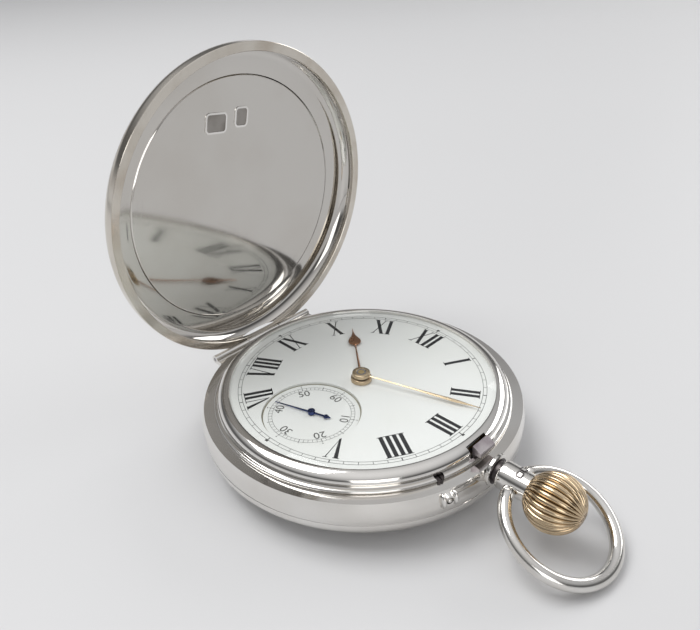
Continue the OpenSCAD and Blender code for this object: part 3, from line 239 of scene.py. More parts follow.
def ring_loops(radius, width, centre=(0, 0), steps=240):
    """Short quads that make a thin circle."""
    loops = []
    inner, outer = radius - width / 2, radius + width / 2
    for i in range(steps):
        a, b = 360 * i / steps, 360 * (i + 1) / steps
        quad = [polar(inner, a), polar(outer, a), polar(outer, b), polar(inner, b)]
        loops.append([(x + centre[0], y + centre[1]) for x, y in quad])
    return loops


def bar(angle, r0, r1, width, centre=(0, 0)):
    """A radial tick."""
    c, s = polar(1, angle)
    quad = [(r0, -width / 2), (r1, -width / 2), (r1, width / 2), (r0, width / 2)]
    return [(centre[0] + u * c - v * s, centre[1] + u * s + v * c) for u, v in quad]


# Materials
def new_material(name):
    """An empty node material with its nodes and links."""
    material = bpy.data.materials.new(name)
    material.use_nodes = True
    return material, material.node_tree.nodes, material.node_tree.links


def ranged(nodes, links, source, least, most, start, end):
    """Spreads a value between least and most over start to end."""
    spread = nodes.new("ShaderNodeMapRange")
    spread.inputs["From Min"].default_value = least
    spread.inputs["From Max"].default_value = most
    spread.inputs["To Min"].default_value = start
    spread.inputs["To Max"].default_value = end
    links.new(source, spread.inputs["Value"])
    return spread.outputs["Result"]


def noise(nodes, links, place, scale, detail):
    """The cloudy value that moves colour, roughness and bump."""
    cloud = nodes.new("ShaderNodeTexNoise")
    cloud.inputs["Scale"].default_value = scale
    cloud.inputs["Detail"].default_value = detail
    links.new(place, cloud.inputs["Vector"])
    return cloud.outputs["Fac"]


def finish_material(name, colour, metallic=1, rough=0.3, swing=0.1, bump=0.1, scale=900, dirt=None,
                    dirt_amount=0.15, coat=0.0, stretch=(1, 1, 1), scratches=0.0):
    """A worn finish.

    Noise of the given scale moves the colour, the bump, and the roughness from rough up by swing. Dirt
    gathers in patches, and scratches are thin dull hairlines.
    """
    material, nodes, links = new_material(name)
    shader = nodes["Principled BSDF"]
    place = nodes.new("ShaderNodeTexCoord").outputs["Object"]
    mapping = nodes.new("ShaderNodeMapping")
    mapping.inputs["Scale"].default_value = stretch
    links.new(place, mapping.inputs["Vector"])
    fine = noise(nodes, links, mapping.outputs["Vector"], scale, 6)
    broad = noise(nodes, links, place, scale / 7, 4)
    roughness = ranged(nodes, links, broad, 0.35, 0.7, rough, rough + swing)
    if scratches:
        thread = nodes.new("ShaderNodeTexVoronoi")
        thread.feature = "DISTANCE_TO_EDGE"
        thread.inputs["Scale"].default_value = scale / 2
        thread.inputs["Randomness"].default_value = 1
        links.new(mapping.outputs["Vector"], thread.inputs["Vector"])
        line = ranged(nodes, links, thread.outputs["Distance"], 0.0, 0.012, scratches, 0.0)
        total = nodes.new("ShaderNodeMath")
        links.new(roughness, total.inputs[0])
        links.new(line, total.inputs[1])
        roughness = total.outputs["Value"]
    links.new(roughness, shader.inputs["Roughness"])
    tint = nodes.new("ShaderNodeMixRGB")
    tint.inputs["Color1"].default_value = (*colour, 1)
    tint.inputs["Color2"].default_value = (*(dirt or [c * 0.86 for c in colour]), 1)
    links.new(ranged(nodes, links, broad, 0.45, 0.75, 0.0, dirt_amount), tint.inputs["Fac"])
    links.new(tint.outputs["Color"], shader.inputs["Base Color"])
    lift = nodes.new("ShaderNodeBump")
    lift.inputs["Strength"].default_value = bump
    lift.inputs["Distance"].default_value = 0.00002
    links.new(fine, lift.inputs["Height"])
    links.new(lift.outputs["Normal"], shader.inputs["Normal"])
    shader.inputs["Metallic"].default_value = metallic
    shader.inputs["Coat Weight"].default_value = coat
    return material


TARNISH = (0.42, 0.36, 0.29)
SILVER = finish_material(
    "polished silver", (0.80, 0.785, 0.76), rough=0.05, swing=0.07, bump=0.05, scale=500, dirt=TARNISH,
    dirt_amount=0.25, scratches=0.05)
# The lid's silver is the case silver made darker: painted shade for the dark surroundings its mirror faces
# reflect. Its patches are tarnish.
LID_SHADED_SILVER = finish_material(
    "lid silver darkened by painted shade", (0.60, 0.58, 0.55), rough=0.035, swing=0.05, bump=0.02, scale=420,
    dirt=(0.45, 0.41, 0.36), dirt_amount=0.3, scratches=0.06)
RIM_SILVER = finish_material(
    "worn rim silver", (0.66, 0.62, 0.56), rough=0.12, swing=0.14, bump=0.15, scale=900,
    dirt=(0.36, 0.29, 0.21), dirt_amount=0.6)
BOW_SILVER = finish_material(
    "bow silver", (0.74, 0.725, 0.70), rough=0.10, swing=0.12, bump=0.1, scale=900, dirt=TARNISH,
    dirt_amount=0.4, scratches=0.08)
CROWN_GOLD = finish_material(
    "crown gilt", (0.62, 0.485, 0.32), rough=0.14, swing=0.12, bump=0.15, scale=1200,
    dirt=(0.34, 0.22, 0.12), dirt_amount=0.5)
# Painted shade: the bottoms of the crown's grooves are coloured a near-black brown
CROWN_GROOVE_SHADE = finish_material(
    "crown groove painted shade", (0.14, 0.09, 0.045), rough=0.35, swing=0.2, bump=0.2, scale=1500,
    dirt=(0.06, 0.04, 0.02), dirt_amount=0.6)
HOUR_BRONZE = finish_material(
    "hour hand bronze", (0.40, 0.21, 0.12), rough=0.24, swing=0.12, bump=0.1, scale=1500,
    dirt=(0.2, 0.1, 0.06), dirt_amount=0.4)
MINUTE_GOLD = finish_material(
    "minute hand gilt", (0.60, 0.47, 0.31), rough=0.24, swing=0.1, bump=0.1, scale=1500,
    dirt=(0.36, 0.25, 0.16), dirt_amount=0.35)
STEEL = finish_material(
    "grey steel", (0.36, 0.35, 0.37), rough=0.3, swing=0.2, bump=0.4, scale=1300, dirt=(0.18, 0.16, 0.17),
    dirt_amount=0.5, stretch=(1, 8, 1))
CATCH_STEEL = finish_material(
    "mottled catch steel", (0.44, 0.41, 0.42), rough=0.34, swing=0.22, bump=0.6, scale=2600,
    dirt=(0.2, 0.16, 0.18), dirt_amount=0.8)
# Dark steel of the screws, also used as painted shade in the groove of the pendant
DARK_STEEL_AND_SHADE = finish_material(
    "dark screw steel and painted groove shade", (0.10, 0.09, 0.09), rough=0.3, swing=0.2, bump=0.3, scale=2200,
    dirt=(0.04, 0.03, 0.03), dirt_amount=0.5)
BLUED = finish_material("blued steel", (0.05, 0.07, 0.19), rough=0.2, swing=0.15, bump=0.1, scale=1300)
GILT = finish_material(
    "gilt plate", (0.80, 0.61, 0.31), rough=0.34, swing=0.15, bump=0.35, scale=2500, dirt=(0.6, 0.42, 0.2),
    dirt_amount=0.3)
BRASS = finish_material(
    "train brass", (0.78, 0.6, 0.30), rough=0.24, swing=0.12, bump=0.15, scale=2200, dirt=(0.5, 0.36, 0.16),
    dirt_amount=0.3)
ENAMEL = finish_material(
    "white enamel", (0.86, 0.865, 0.84), metallic=0, rough=0.08, swing=0.05, bump=0.03, scale=600,
    dirt=(0.80, 0.80, 0.75), dirt_amount=0.4, coat=0.5)
INK = finish_material(
    "black enamel paint", (0.014, 0.014, 0.016), metallic=0, rough=0.25, swing=0.1, bump=0.05, scale=1500)
GREY_INK = finish_material(
    "grey enamel paint", (0.07, 0.068, 0.064), metallic=0, rough=0.3, swing=0.1, bump=0.05, scale=1500)
EDGE_INK = finish_material(
    "sunk edge", (0.30, 0.28, 0.21), metallic=0, rough=0.3, swing=0.1, bump=0.05, scale=1500)
RUBY = finish_material(
    "ruby", (0.45, 0.02, 0.07), metallic=0, rough=0.08, swing=0.04, bump=0.03, scale=1500, coat=0.6)


def glass_material():
    """Clear glass that lets light through to the dial, with a few hairline marks."""
    material, nodes, links = new_material("watch glass")
    for node in list(nodes):
        nodes.remove(node)
    out = nodes.new("ShaderNodeOutputMaterial")
    clear = nodes.new("ShaderNodeBsdfTransparent")
    clear.inputs["Color"].default_value = (0.99, 0.995, 0.995, 1)
    gloss = nodes.new("ShaderNodeBsdfGlossy")
    edge = nodes.new("ShaderNodeFresnel")
    edge.inputs["IOR"].default_value = 1.35
    place = nodes.new("ShaderNodeTexCoord")
    marks = nodes.new("ShaderNodeTexNoise")
    marks.inputs["Scale"].default_value = 400
    soft = nodes.new("ShaderNodeMapRange")
    soft.inputs["To Min"].default_value = 0.01
    soft.inputs["To Max"].default_value = 0.05
    side = nodes.new("ShaderNodeNewGeometry")
    front = nodes.new("ShaderNodeMath")
    front.operation = "SUBTRACT"
    front.inputs[0].default_value = 1
    shine = nodes.new("ShaderNodeMath")
    shine.operation = "MULTIPLY"
    mix = nodes.new("ShaderNodeMixShader")
    links.new(place.outputs["Object"], marks.inputs["Vector"])
    links.new(marks.outputs["Fac"], soft.inputs["Value"])
    links.new(soft.outputs["Result"], gloss.inputs["Roughness"])
    links.new(side.outputs["Backfacing"], front.inputs[1])
    links.new(edge.outputs["Fac"], shine.inputs[0])
    links.new(front.outputs["Value"], shine.inputs[1])
    links.new(shine.outputs["Value"], mix.inputs["Fac"])
    links.new(clear.outputs["BSDF"], mix.inputs[1])
    links.new(gloss.outputs["BSDF"], mix.inputs[2])
    links.new(mix.outputs["Shader"], out.inputs["Surface"])
    return material


GLASS = glass_material()
# The finish of each CAD node
FINISH = {
    SILVER: ["case_band", "pendant", "bezel", "back_cover", "cuvette", "set_pin", "front_lid", "bow"],
    CROWN_GOLD: ["crown"],
    DARK_STEEL_AND_SHADE: ["set_pin_screw", "lock_spring_screw", "case_screws"],
    STEEL: ["front_hinge_pin", "back_hinge_pin", "cuvette_hinge_pin", "lock_spring", "lift_spring",
            "crown_stem", "winding_stem", "winding_pinion", "sliding_clutch", "setting_yoke", "click",
            "crown_wheel", "ratchet_wheel", "barrel_arbor", "cannon_pinion", "pallet_lever",
            "balance_staff", "regulator"],
    BLUED: ["plate_screws", "cock_screws", "ratchet_screw", "crown_wheel_screw", "seconds_hand",
            "hairspring", "mainspring"],
    GILT: ["main_plate", "three_quarter_plate", "pallet_cock", "balance_cock", "barrel_drum",
           "barrel_cover"],
    BRASS: ["hour_wheel", "minute_wheel", "setting_wheel", "centre_wheel", "third_wheel", "fourth_wheel",
            "escape_wheel", "balance_wheel"],
    MINUTE_GOLD: ["hour_hand", "minute_hand"],
    ENAMEL: ["dial", "seconds_dial"],
    GLASS: ["crystal"],
    RUBY: ["jewels"],
}
for material, names in FINISH.items():
    for name in names:
        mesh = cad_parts[name].data
        mesh.materials.clear()
        mesh.materials.append(material)

MARK_FIELD = finish_material(
    "sunk mark", (0.34, 0.32, 0.30), rough=0.4, swing=0.15, bump=0.5, scale=2200, dirt=(0.2, 0.18, 0.16),
    dirt_amount=0.5)

# Dial printing
PRINT_LIFT = 0.012
PRINT_Z = DIAL_TOP + PRINT_LIFT
NUMERAL_MID = 16.3
NUMERAL_HEIGHT = 4.5
LETTER_WIDTHS = {"I": 1.0, "V": 2.5, "X": 2.5}
THICK = 0.62
THIN = 0.16
SERIF = 0.12
# Offsets of the strokes' ends from the middle of a letter, and half widths of its serifs
I_SERIF = THICK / 2 + 0.2
V_FOOT, V_THICK_HEAD, V_THIN_HEAD = 0.05, -0.72, 0.82
V_SERIFS = (0.5, 0.36)
X_THICK, X_THIN = 0.75, 0.8
X_SERIFS = (0.46, 0.34)


def stroke(foot, head, width):
    """A slanted stroke of a numeral from its foot to its head."""
    top = NUMERAL_HEIGHT / 2
    return [(foot - width / 2, -top), (foot + width / 2, -top),
            (head + width / 2, top), (head - width / 2, top)]


def serif(middle, reach, height):
    """The short bar across the end of a stroke."""
    inner = height - math.copysign(SERIF, height)
    bottom, top = min(height, inner), max(height, inner)
    return [(middle - reach, bottom), (middle + reach, bottom),
            (middle + reach, top), (middle - reach, top)]


def numeral_loops(text):
    """Strokes of a plain Roman numeral, centred, its foot toward -Y."""
    half = NUMERAL_HEIGHT / 2
    x = -sum(LETTER_WIDTHS[letter] for letter in text) / 2
    loops = []
    for letter in text:
        mid = x + LETTER_WIDTHS[letter] / 2
        if letter == "I":
            loops.append(stroke(mid, mid, THICK))
            ends = [(mid, I_SERIF, half), (mid, I_SERIF, -half)]
        elif letter == "V":
            loops.append(stroke(mid + V_FOOT, mid + V_THICK_HEAD, THICK))
            loops.append(stroke(mid + V_FOOT, mid + V_THIN_HEAD, THIN))
            ends = [(mid + V_THICK_HEAD, V_SERIFS[0], half), (mid + V_THIN_HEAD, V_SERIFS[1], half)]
        else:
            loops.append(stroke(mid + X_THICK, mid - X_THICK, THICK))
            loops.append(stroke(mid - X_THIN, mid + X_THIN, THIN))
            ends = [(mid - X_THICK, X_SERIFS[0], half), (mid + X_THIN, X_SERIFS[1], half),
                    (mid + X_THICK, X_SERIFS[0], -half), (mid - X_THIN, X_SERIFS[1], -half)]
        loops += [serif(*end) for end in ends]
        x += LETTER_WIDTHS[letter]
    return loops


def place_loops(loops, hour, radius):
    """Turns loops so that their foot points to the middle of the dial."""
    turn = math.radians(-30 * hour)
    c, s = math.cos(turn), math.sin(turn)
    return [[(x * c - (y + radius) * s, x * s + (y + radius) * c) for x, y in loop] for loop in loops]


def clip_outside(loops, centre, radius):
    """Moves points that fall inside a circle out to its edge."""
    kept = []
    for loop in loops:
        moved = []
        for x, y in loop:
            dx, dy = x - centre[0], y - centre[1]
            d = math.hypot(dx, dy)
            if d < radius:
                x, y = centre[0] + dx * radius / d, centre[1] + dy * radius / d
            moved.append((x, y))
        kept.append(moved)
    return kept


HOURS = ["I", "II", "III", "IIII", "V", "VI", "VII", "VIII", "IX", "X", "XI", "XII"]
numerals = []
for hour, text in enumerate(HOURS, 1):
    if hour != 6:
        numerals += place_loops(numeral_loops(text), hour, NUMERAL_MID)
numerals = clip_outside(numerals, (0, SMALL_Y), SMALL_R + 0.15)
TRACK_IN, TRACK_OUT = 18.95, 19.5
QUARTER_OUT = 19.85
track = ring_loops(TRACK_OUT, 0.07) + ring_loops(TRACK_IN, 0.07)
track += [bar(6 * i, TRACK_IN, TRACK_OUT, 0.16 if i % 5 == 0 else 0.08) for i in range(60)]
track += [bar(90 * i, TRACK_OUT, QUARTER_OUT, 0.5) for i in range(4)]
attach(flat_shapes("dial_numerals", numerals, PRINT_Z, INK), "case")
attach(flat_shapes("dial_minute_track", track, PRINT_Z, GREY_INK), "case")

# Printing of the seconds dial
SMALL_MID = (0, SMALL_Y)
SMALL_Z = SMALL_TOP + PRINT_LIFT
SMALL_IN, SMALL_OUT, SMALL_LONG = 5.95, 6.5, 6.75
SMALL_LINE, SMALL_BOLD = 0.05, 0.09
DOT_AT, DOT_R = 7.0, 0.11
NUMBER_AT, NUMBER_SIZE = 5.05, 1.9
small_track = []
for radius in (SMALL_OUT, SMALL_IN):
    small_track += ring_loops(radius, SMALL_LINE, SMALL_MID, 120)
for i in range(60):
    reach, width = (SMALL_LONG, SMALL_BOLD) if i % 5 == 0 else (SMALL_OUT, SMALL_LINE)
    small_track.append(bar(90 - 6 * i, SMALL_IN, reach, width, SMALL_MID))
for i in range(6):
    dot_x, dot_y = polar(DOT_AT, 90 - 60 * i)
    dot = [polar(DOT_R, 60 * k) for k in range(6)]
    small_track.append([(SMALL_MID[0] + dot_x + x, SMALL_MID[1] + dot_y + y) for x, y in dot])
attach(flat_shapes("seconds_track", small_track, SMALL_Z, GREY_INK), "case")
sunk_edge = ring_loops(SMALL_R - 0.1, 0.2, SMALL_MID)
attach(flat_shapes("seconds_dial_edge", sunk_edge, SMALL_Z, EDGE_INK), "case")
for i, label in enumerate(["60", "10", "20", "30", "40", "50"]):
    curve = bpy.data.curves.new("seconds_number_" + label, "FONT")
    curve.body = label
    curve.size = NUMBER_SIZE * MM
    curve.align_x = "CENTER"
    curve.align_y = "CENTER"
    curve.materials.append(GREY_INK)
    number = bpy.data.objects.new("seconds_number_" + label, curve)
    bpy.context.scene.collection.objects.link(number)
    x, y = polar(NUMBER_AT, 90 - 60 * i)
    number.location = Vector((x, y + SMALL_Y, SMALL_Z)) * MM
    number.rotation_euler = (0, 0, math.radians(-60 * i))
    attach(number, "case")

# Bezel, a turned ring with notches for the catch and the screw of the nail set pin
CATCH_LOW, CATCH_HIGH = -1.62, 1.74
CATCH_X = 22.42
NOSE_X = 23.85
CATCH_TOP = LEDGE_Z + 2.4
CATCH_TRAVEL = 0.6
PIN_ANGLE = -19.9
PIN_R = 25.2
PIN_Z = LEDGE_Z - 1.404
SCREW_R = 22.88
SCREW_ROOM = 0.74
BEZEL_TOP = DIAL_TOP + 0.55
BEZEL_SEAT = DIAL_TOP + 0.08
BEAD_OUT, BEAD_ROUND, BEAD_HALF = 0.65, 0.22, 0.26
SHOULDER_H = 1.05
WALL_LOW, WALL_HIGH = 0.6, 0.85
SMOOTH_SIDES = 288


def bezel_piece():
    """The bezel: a bead at its foot, then a rounded wall up to the glass."""
    foot = LEDGE_Z
    outer, inner = BEAD_R - BEAD_OUT, APERTURE_R + 0.15
    profile = [(outer - WALL_LOW, foot + 0.04)]
    profile += arc(BEAD_R - BEAD_ROUND, foot + 0.3, BEAD_ROUND, BEAD_HALF, -90, 90, 10)
    profile += [(outer + 0.1, foot + 0.6), (outer, foot + 0.7)]
    profile += arc(inner, foot + SHOULDER_H, outer - inner, BEZEL_TOP - foot - SHOULDER_H, 0, 90, 16)
    profile += [(APERTURE_R, BEZEL_TOP - 0.05), (APERTURE_R, BEZEL_SEAT), (outer - WALL_HIGH, BEZEL_SEAT),
                (outer - WALL_HIGH, foot + 0.8), (outer - WALL_LOW, foot + 0.8)]
    obj = add_mesh("bezel_ring", *lathe_points(profile, SMOOTH_SIDES), [SILVER])
    merge_points(obj)
    low_x, low_y, high_y = CATCH_X - CATCH_TRAVEL - 0.08, CATCH_LOW - 0.62, CATCH_HIGH + 0.2
    notch = add_mesh("tool", *block_points((low_x, low_y, foot - 1), (outer + 0.02, high_y, foot + 4)), [])
    nose_room = add_mesh("tool", *block_points((low_x, low_y, foot + 0.64), (LID_R, high_y, foot + 4)), [])
    x, y = polar(SCREW_R, PIN_ANGLE)
    cut_away(obj, [notch, nose_room, rod_tool((x, y, foot - 1), (x, y, foot + 0.75), SCREW_ROOM)])
    shade_round(obj, 30)
    return obj


dress(bezel_piece(), "case", "silver", "bezel")

# Band, pendant and back keep the CAD form
FACET_ANGLE = 24


def smooth_piece(node, name):
    """A CAD node's own form in silver, with its facets shaded round."""
    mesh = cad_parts[node].data.copy()
    mesh.materials.clear()
    mesh.materials.append(SILVER)
    obj = bpy.data.objects.new(name, mesh)
    bpy.context.scene.collection.objects.link(obj)
    if mesh.has_custom_normals:
        mesh.attributes.remove(mesh.attributes["custom_normal"])
    merge_points(obj)
    shade_round(obj, FACET_ANGLE)
    return obj


dress(smooth_piece("case_band", "band_wall"), "case", "silver", "case_band")
neck = smooth_piece("pendant", "pendant_neck")
# Painted shade: the narrow groove between collar and tube is coloured dark steel
NECK_START, NECK_END = MOUTH_X - 5.6, MOUTH_X - 4.9
NECK_R = 1.9
neck.data.materials.append(DARK_STEEL_AND_SHADE)
for polygon in neck.data.polygons:
    x, y, z = polygon.center / MM
    if NECK_START < x < NECK_END and math.hypot(y, z - STEM_Z) < NECK_R:
        polygon.material_index = 1
dress(neck, "case", "silver", "pendant")
dress(smooth_piece("back_cover", "back_shell"), "back_cover", "silver", "back_cover")

# Crystal
GLASS_RISE, GLASS_T = 1.5, 0.6


def crystal_piece():
    """The domed glass, thin at its rim."""
    edge, rim = DIAL_TOP + 0.33, APERTURE_R + 0.02
    rise = GLASS_RISE + GLASS_T - 0.06

    def dome(height, base, r):
        """Height at the radius r of a dome that rises by height over its base."""
        big = (rim * rim + height * height) / (2 * height)
        return base + height - big + math.sqrt(big * big - r * r)

    steps = 40
    outside = [(rim * i / steps, dome(rise, edge + 0.06, rim * i / steps)) for i in range(steps + 1)]
    inside = [(r, dome(GLASS_RISE, edge, r)) for r in (rim * i / steps for i in range(steps, -1, -1))]
    obj = add_mesh("glass_dome", *lathe_points(outside + inside, 192), [GLASS])
    merge_points(obj)
    shade_round(obj, 30)
    return obj


dress(crystal_piece(), "case", "glass", "crystal")

# Front lid, turned as it lies shut and then swung open about its hinge
LID_OPEN = 88
LID_H, LID_WALL, LID_LAND = 5.0, 0.55, 0.65
LID_DOME_R, LID_FLAT_R, LID_DISH = 175, DIAL_R - 1.6, 1.12
LID_CORNER, LID_EDGE_H = 2.35, 0.9
COVE_OUT, COVE_R, COVE_H = 0.75, 2.1, 0.95
CHORD_X = HINGE_X + 0.5
KNUCKLE_R, KNUCKLE_LEN, HINGE_LEN, PIN_BORE = 0.72, 7.0, 21.6, 0.38
KNUCKLE_GAP = 0.1
CHAMFER = 0.05
LID_FOOT = LEDGE_Z + 0.02
# How many faces round the profile, from its start and up to its end, are the worn rim
RIM_FACES, LIP_FACES = 12, 6
hinge = Vector((HINGE_X, 0, LEDGE_Z))
swing = Matrix.Rotation(math.radians(-LID_OPEN), 3, "Y")


def opened(point):
    """A point of the shut lid, in its place on the open one."""
    return hinge + swing @ (Vector(point) - hinge)


def open_mesh(obj):
    """Swings a piece of the shut lid open."""
    for vertex in obj.data.vertices:
        vertex.co = opened(vertex.co / MM) * MM


def lid_inside(r):
    """Height of the lid's flat inner face when it lies shut."""
    return LID_FOOT + LID_H - LID_WALL - LID_DISH * (r / LID_FLAT_R) ** 2


def lid_profile():
    """The outline (radius, height) of the shut lid: outside from rim to middle, then inside and back."""
    corner, cove = LID_R - LID_CORNER, LIP_R + COVE_OUT
    shoulder = LID_H - corner * corner / (2 * LID_DOME_R)
    outer = [(LIP_R + 0.06, 0), (LID_R - 0.08, 0), (LID_R, 0.08)]
    outer += arc(corner, LID_EDGE_H, LID_R - corner, shoulder - LID_EDGE_H, 0, 90, 20)
    radii = [corner * i / 16 for i in range(15, -1, -1)]
    outer += [(r, LID_H - r ** 2 / (2 * LID_DOME_R)) for r in radii]
    radii = [LID_FLAT_R * i / 12 for i in range(13)]
    inner = [(r, lid_inside(r) - LID_FOOT) for r in radii]
    step = inner[-1][1]
    inner += [(LID_FLAT_R + 0.02, step - 0.06), (LID_FLAT_R + 0.1, step - 0.1),
              (LID_FLAT_R + 0.22, step - 0.02), (LID_FLAT_R + 0.3, step + 0.05)]
    inner += arc(cove - COVE_R, COVE_H, COVE_R, shoulder - COVE_H - LID_WALL, 90, 0, 24)
    inner += [(cove, LID_LAND + 0.05), (cove - 0.05, LID_LAND), (LIP_R + 0.06, LID_LAND),
              (LIP_R, LID_LAND - 0.06), (LIP_R, 0.06)]
    return [(r, LID_FOOT + z) for r, z in outer + inner]


def lid_piece():
    """The lid, cut off straight at its hinge and with room for the knuckles of the band."""
    profile = lid_profile()
    count = len(profile)
    # The lid's faces take the silver darkened by painted shade, its rim and lip the worn silver
    obj = add_mesh("front_lid_shell", *lathe_points(profile, SMOOTH_SIDES), [LID_SHADED_SILVER, RIM_SILVER],
                   which=lambda i: 1 if i % count < RIM_FACES or i % count > count - LIP_FACES else 0)
    work = bmesh.new()
    work.from_mesh(obj.data)
    bmesh.ops.remove_doubles(work, verts=work.verts, dist=0.001 * MM)
    everything = work.verts[:] + work.edges[:] + work.faces[:]
    cut = bmesh.ops.bisect_plane(work, geom=everything, dist=1e-8, plane_co=(CHORD_X * MM, 0, 0),
                                 plane_no=(1, 0, 0), clear_inner=True)
    edges = [item for item in cut["geom_cut"] if isinstance(item, bmesh.types.BMEdge)]
    bmesh.ops.triangle_fill(work, use_beauty=True, use_dissolve=True, edges=edges)
    bmesh.ops.recalc_face_normals(work, faces=work.faces)
    work.to_mesh(obj.data)
    work.free()
    room = []
    for side in (-1, 1):
        start = (HINGE_X, side * (KNUCKLE_LEN / 2 + KNUCKLE_GAP), LEDGE_Z)
        end = (HINGE_X, side * HINGE_LEN / 2, LEDGE_Z)
        room.append(rod_tool(start, end, KNUCKLE_R + KNUCKLE_GAP))
    cut_away(obj, room)
    open_mesh(obj)
    shade_round(obj, 28)
    return obj


def lid_knuckle():
    """The lid's barrel on the hinge pin and the leaf that carries it."""
    half = KNUCKLE_LEN / 2
    profile = [(PIN_BORE, -half), (KNUCKLE_R - CHAMFER, -half), (KNUCKLE_R, CHAMFER - half),
               (KNUCKLE_R, half - CHAMFER), (KNUCKLE_R - CHAMFER, half), (PIN_BORE, half)]
    points, faces = lathe_points(profile, 48)
    points = [(HINGE_X + x, z, LEDGE_Z + y) for x, y, z in points]
    leaf = block_points((HINGE_X + PIN_BORE + 0.05, -half, LEDGE_Z + 0.04),
                        (-LIP_R - 0.02, half, LEDGE_Z + LID_LAND + 0.15))
    obj = add_mesh("front_lid_barrel", *joined([(points, faces), leaf]), [SILVER])
    merge_points(obj)
    open_mesh(obj)
    shade_round(obj, 28)
    return obj


dress(lid_piece(), "front_lid", "silver", "front_lid")
dress(lid_knuckle(), "front_lid", "silver")

# Blank cartouches struck into the lid: the centre and size of each on the shut lid
LID_MARKS = {"wide": ((13.4, -2.45), (3.2, 4.1)), "narrow": ((13.35, 2.4), (3.2, 2.6))}
MARK_TURN, MARK_EDGE, MARK_CORNER = 8, 0.3, 0.75
# Heights over the surface of the four loops of a mark, from outside to inside
LID_LIFTS = (-0.02, 0.1, 0.13, 0.015)


def rounded(width, height, radius, steps=6):
    """A rounded oblong round the origin."""
    loop = []
    for sx, sy, first in ((1, 1, 0), (-1, 1, 90), (-1, -1, 180), (1, -1, 270)):
        cx, cy = sx * (width / 2 - radius), sy * (height / 2 - radius)
        loop += arc(cx, cy, radius, radius, first, first + 90, steps)
    return loop


def mark_points(size, edge, corner, place, heights):
    """A raised rim round a sunk field: place puts (x, y, lift) on the surface."""
    inner = rounded(size[0] - 2 * edge, size[1] - 2 * edge, corner - edge)
    outer = rounded(size[0], size[1], corner)
    count = len(inner)
    loops = [[place(x, y, h) for x, y in loop] for loop, h in zip((outer, outer, inner, inner), heights)]
    points = [p for loop in loops for p in loop]
    faces = []
    for j in range(3):
        here, there = j * count, (j + 1) * count
        for i in range(count):
            k = (i + 1) % count
            faces.append((here + i, here + k, there + k, there + i))
    return points, faces + [tuple(3 * count + i for i in reversed(range(count)))]


def mark_piece(name, points, faces, rim, field):
    """A mark with its rim in one material and its field, the last face, in another."""
    last = len(faces) - 1
    return add_mesh(name, points, faces, [rim, field], 30, which=lambda i: 1 if i == last else 0)


for name, (centre, size) in LID_MARKS.items():
    def on_lid(x, y, lift, centre=centre):
        c, s = polar(1, MARK_TURN)
        px, py = centre[0] + x * c - y * s, centre[1] + x * s + y * c
        return opened((px, py, lid_inside(math.hypot(px, py)) - lift))
    points, faces = mark_points(size, MARK_EDGE, MARK_CORNER, on_lid, LID_LIFTS)
    dress(mark_piece("lid_mark_" + name, points, faces, SILVER, MARK_FIELD), "front_lid", "silver")

# Two small blank marks on the top of the pendant: the place along it and the angle round it
TUBE_R = 2.15
TUBE_MARKS = {"near": (29.35, 105), "far": (29.2, 70)}
TUBE_MARK_SIZE, TUBE_MARK_EDGE, TUBE_MARK_CORNER = (0.95, 1.05), 0.17, 0.22
TUBE_LIFTS = (-0.03, 0.03, 0.03, 0.0)
for name, (x_mid, turn) in TUBE_MARKS.items():
    def on_tube(x, y, lift, x_mid=x_mid, turn=turn):
        cy, cz = polar(TUBE_R + lift, turn + math.degrees(y / TUBE_R))
        return Vector((x_mid + x, cy, STEM_Z + cz))
    points, faces = mark_points(TUBE_MARK_SIZE, TUBE_MARK_EDGE, TUBE_MARK_CORNER, on_tube, TUBE_LIFTS)
    dress(mark_piece("pendant_mark_" + name, points, faces, DARK_STEEL_AND_SHADE, SILVER), "case", "silver")

# Catch of the lid: hook, legs and the spring strip inside the band
STRIP_R, STRIP_START, STRIP_END, STRIP_STEPS = 22.15, 4, 46, 28
STRIP_T, STRIP_H = 0.42, 1.1
HOOK_FOOT = STEM_Z + 1.62
TIE_START, TIE_END = 1.3, 2.2


def catch_piece():
    """The hook that holds the lid, on the end of its spring strip."""
    neck_x, land = LIP_R - 0.95, LEDGE_Z + LID_LAND
    hook = prism_points([
        (CATCH_X, HOOK_FOOT), (neck_x, HOOK_FOOT), (neck_x, land + 0.3), (NOSE_X, land + 0.4),
        (NOSE_X, CATCH_TOP - 0.75), (CATCH_X + 0.1, CATCH_TOP), (CATCH_X, CATCH_TOP - 0.06)
    ], CATCH_LOW, CATCH_HIGH)
    back_x = CATCH_X + STRIP_T
    legs = [block_points((CATCH_X, y, SPRING_FOOT + 1.2), (back_x, y + STRIP_T, STEM_Z + 1.7))
            for y in (CATCH_LOW + 0.02, CATCH_HIGH - 0.44)]
    strip = []
    for i in range(STRIP_STEPS + 1):
        a = STRIP_START + (STRIP_END - STRIP_START) * i / STRIP_STEPS
        for r, z in ((0, 0), (STRIP_T, 0), (STRIP_T, STRIP_H), (0, STRIP_H)):
            strip.append((*polar(STRIP_R + r, a), SPRING_FOOT + z))
    sides = [(4 * i + k, 4 * i + (k + 1) % 4, 4 * i + 4 + (k + 1) % 4, 4 * i + 4 + k)
             for i in range(STRIP_STEPS) for k in range(4)]
    sides += [(3, 2, 1, 0), tuple(4 * STRIP_STEPS + k for k in range(4))]
    tie = block_points((CATCH_X, TIE_START, SPRING_FOOT), (back_x, TIE_END, SPRING_FOOT + 1.35))
    obj = add_mesh("catch_hook", *joined([hook, *legs, (strip, sides), tie]), [CATCH_STEEL])
    merge_points(obj)
    soften(obj, 0.05)
    shade_round(obj, 30)
    return obj


dress(catch_piece(), "lock_spring", "steel", "lock_spring")

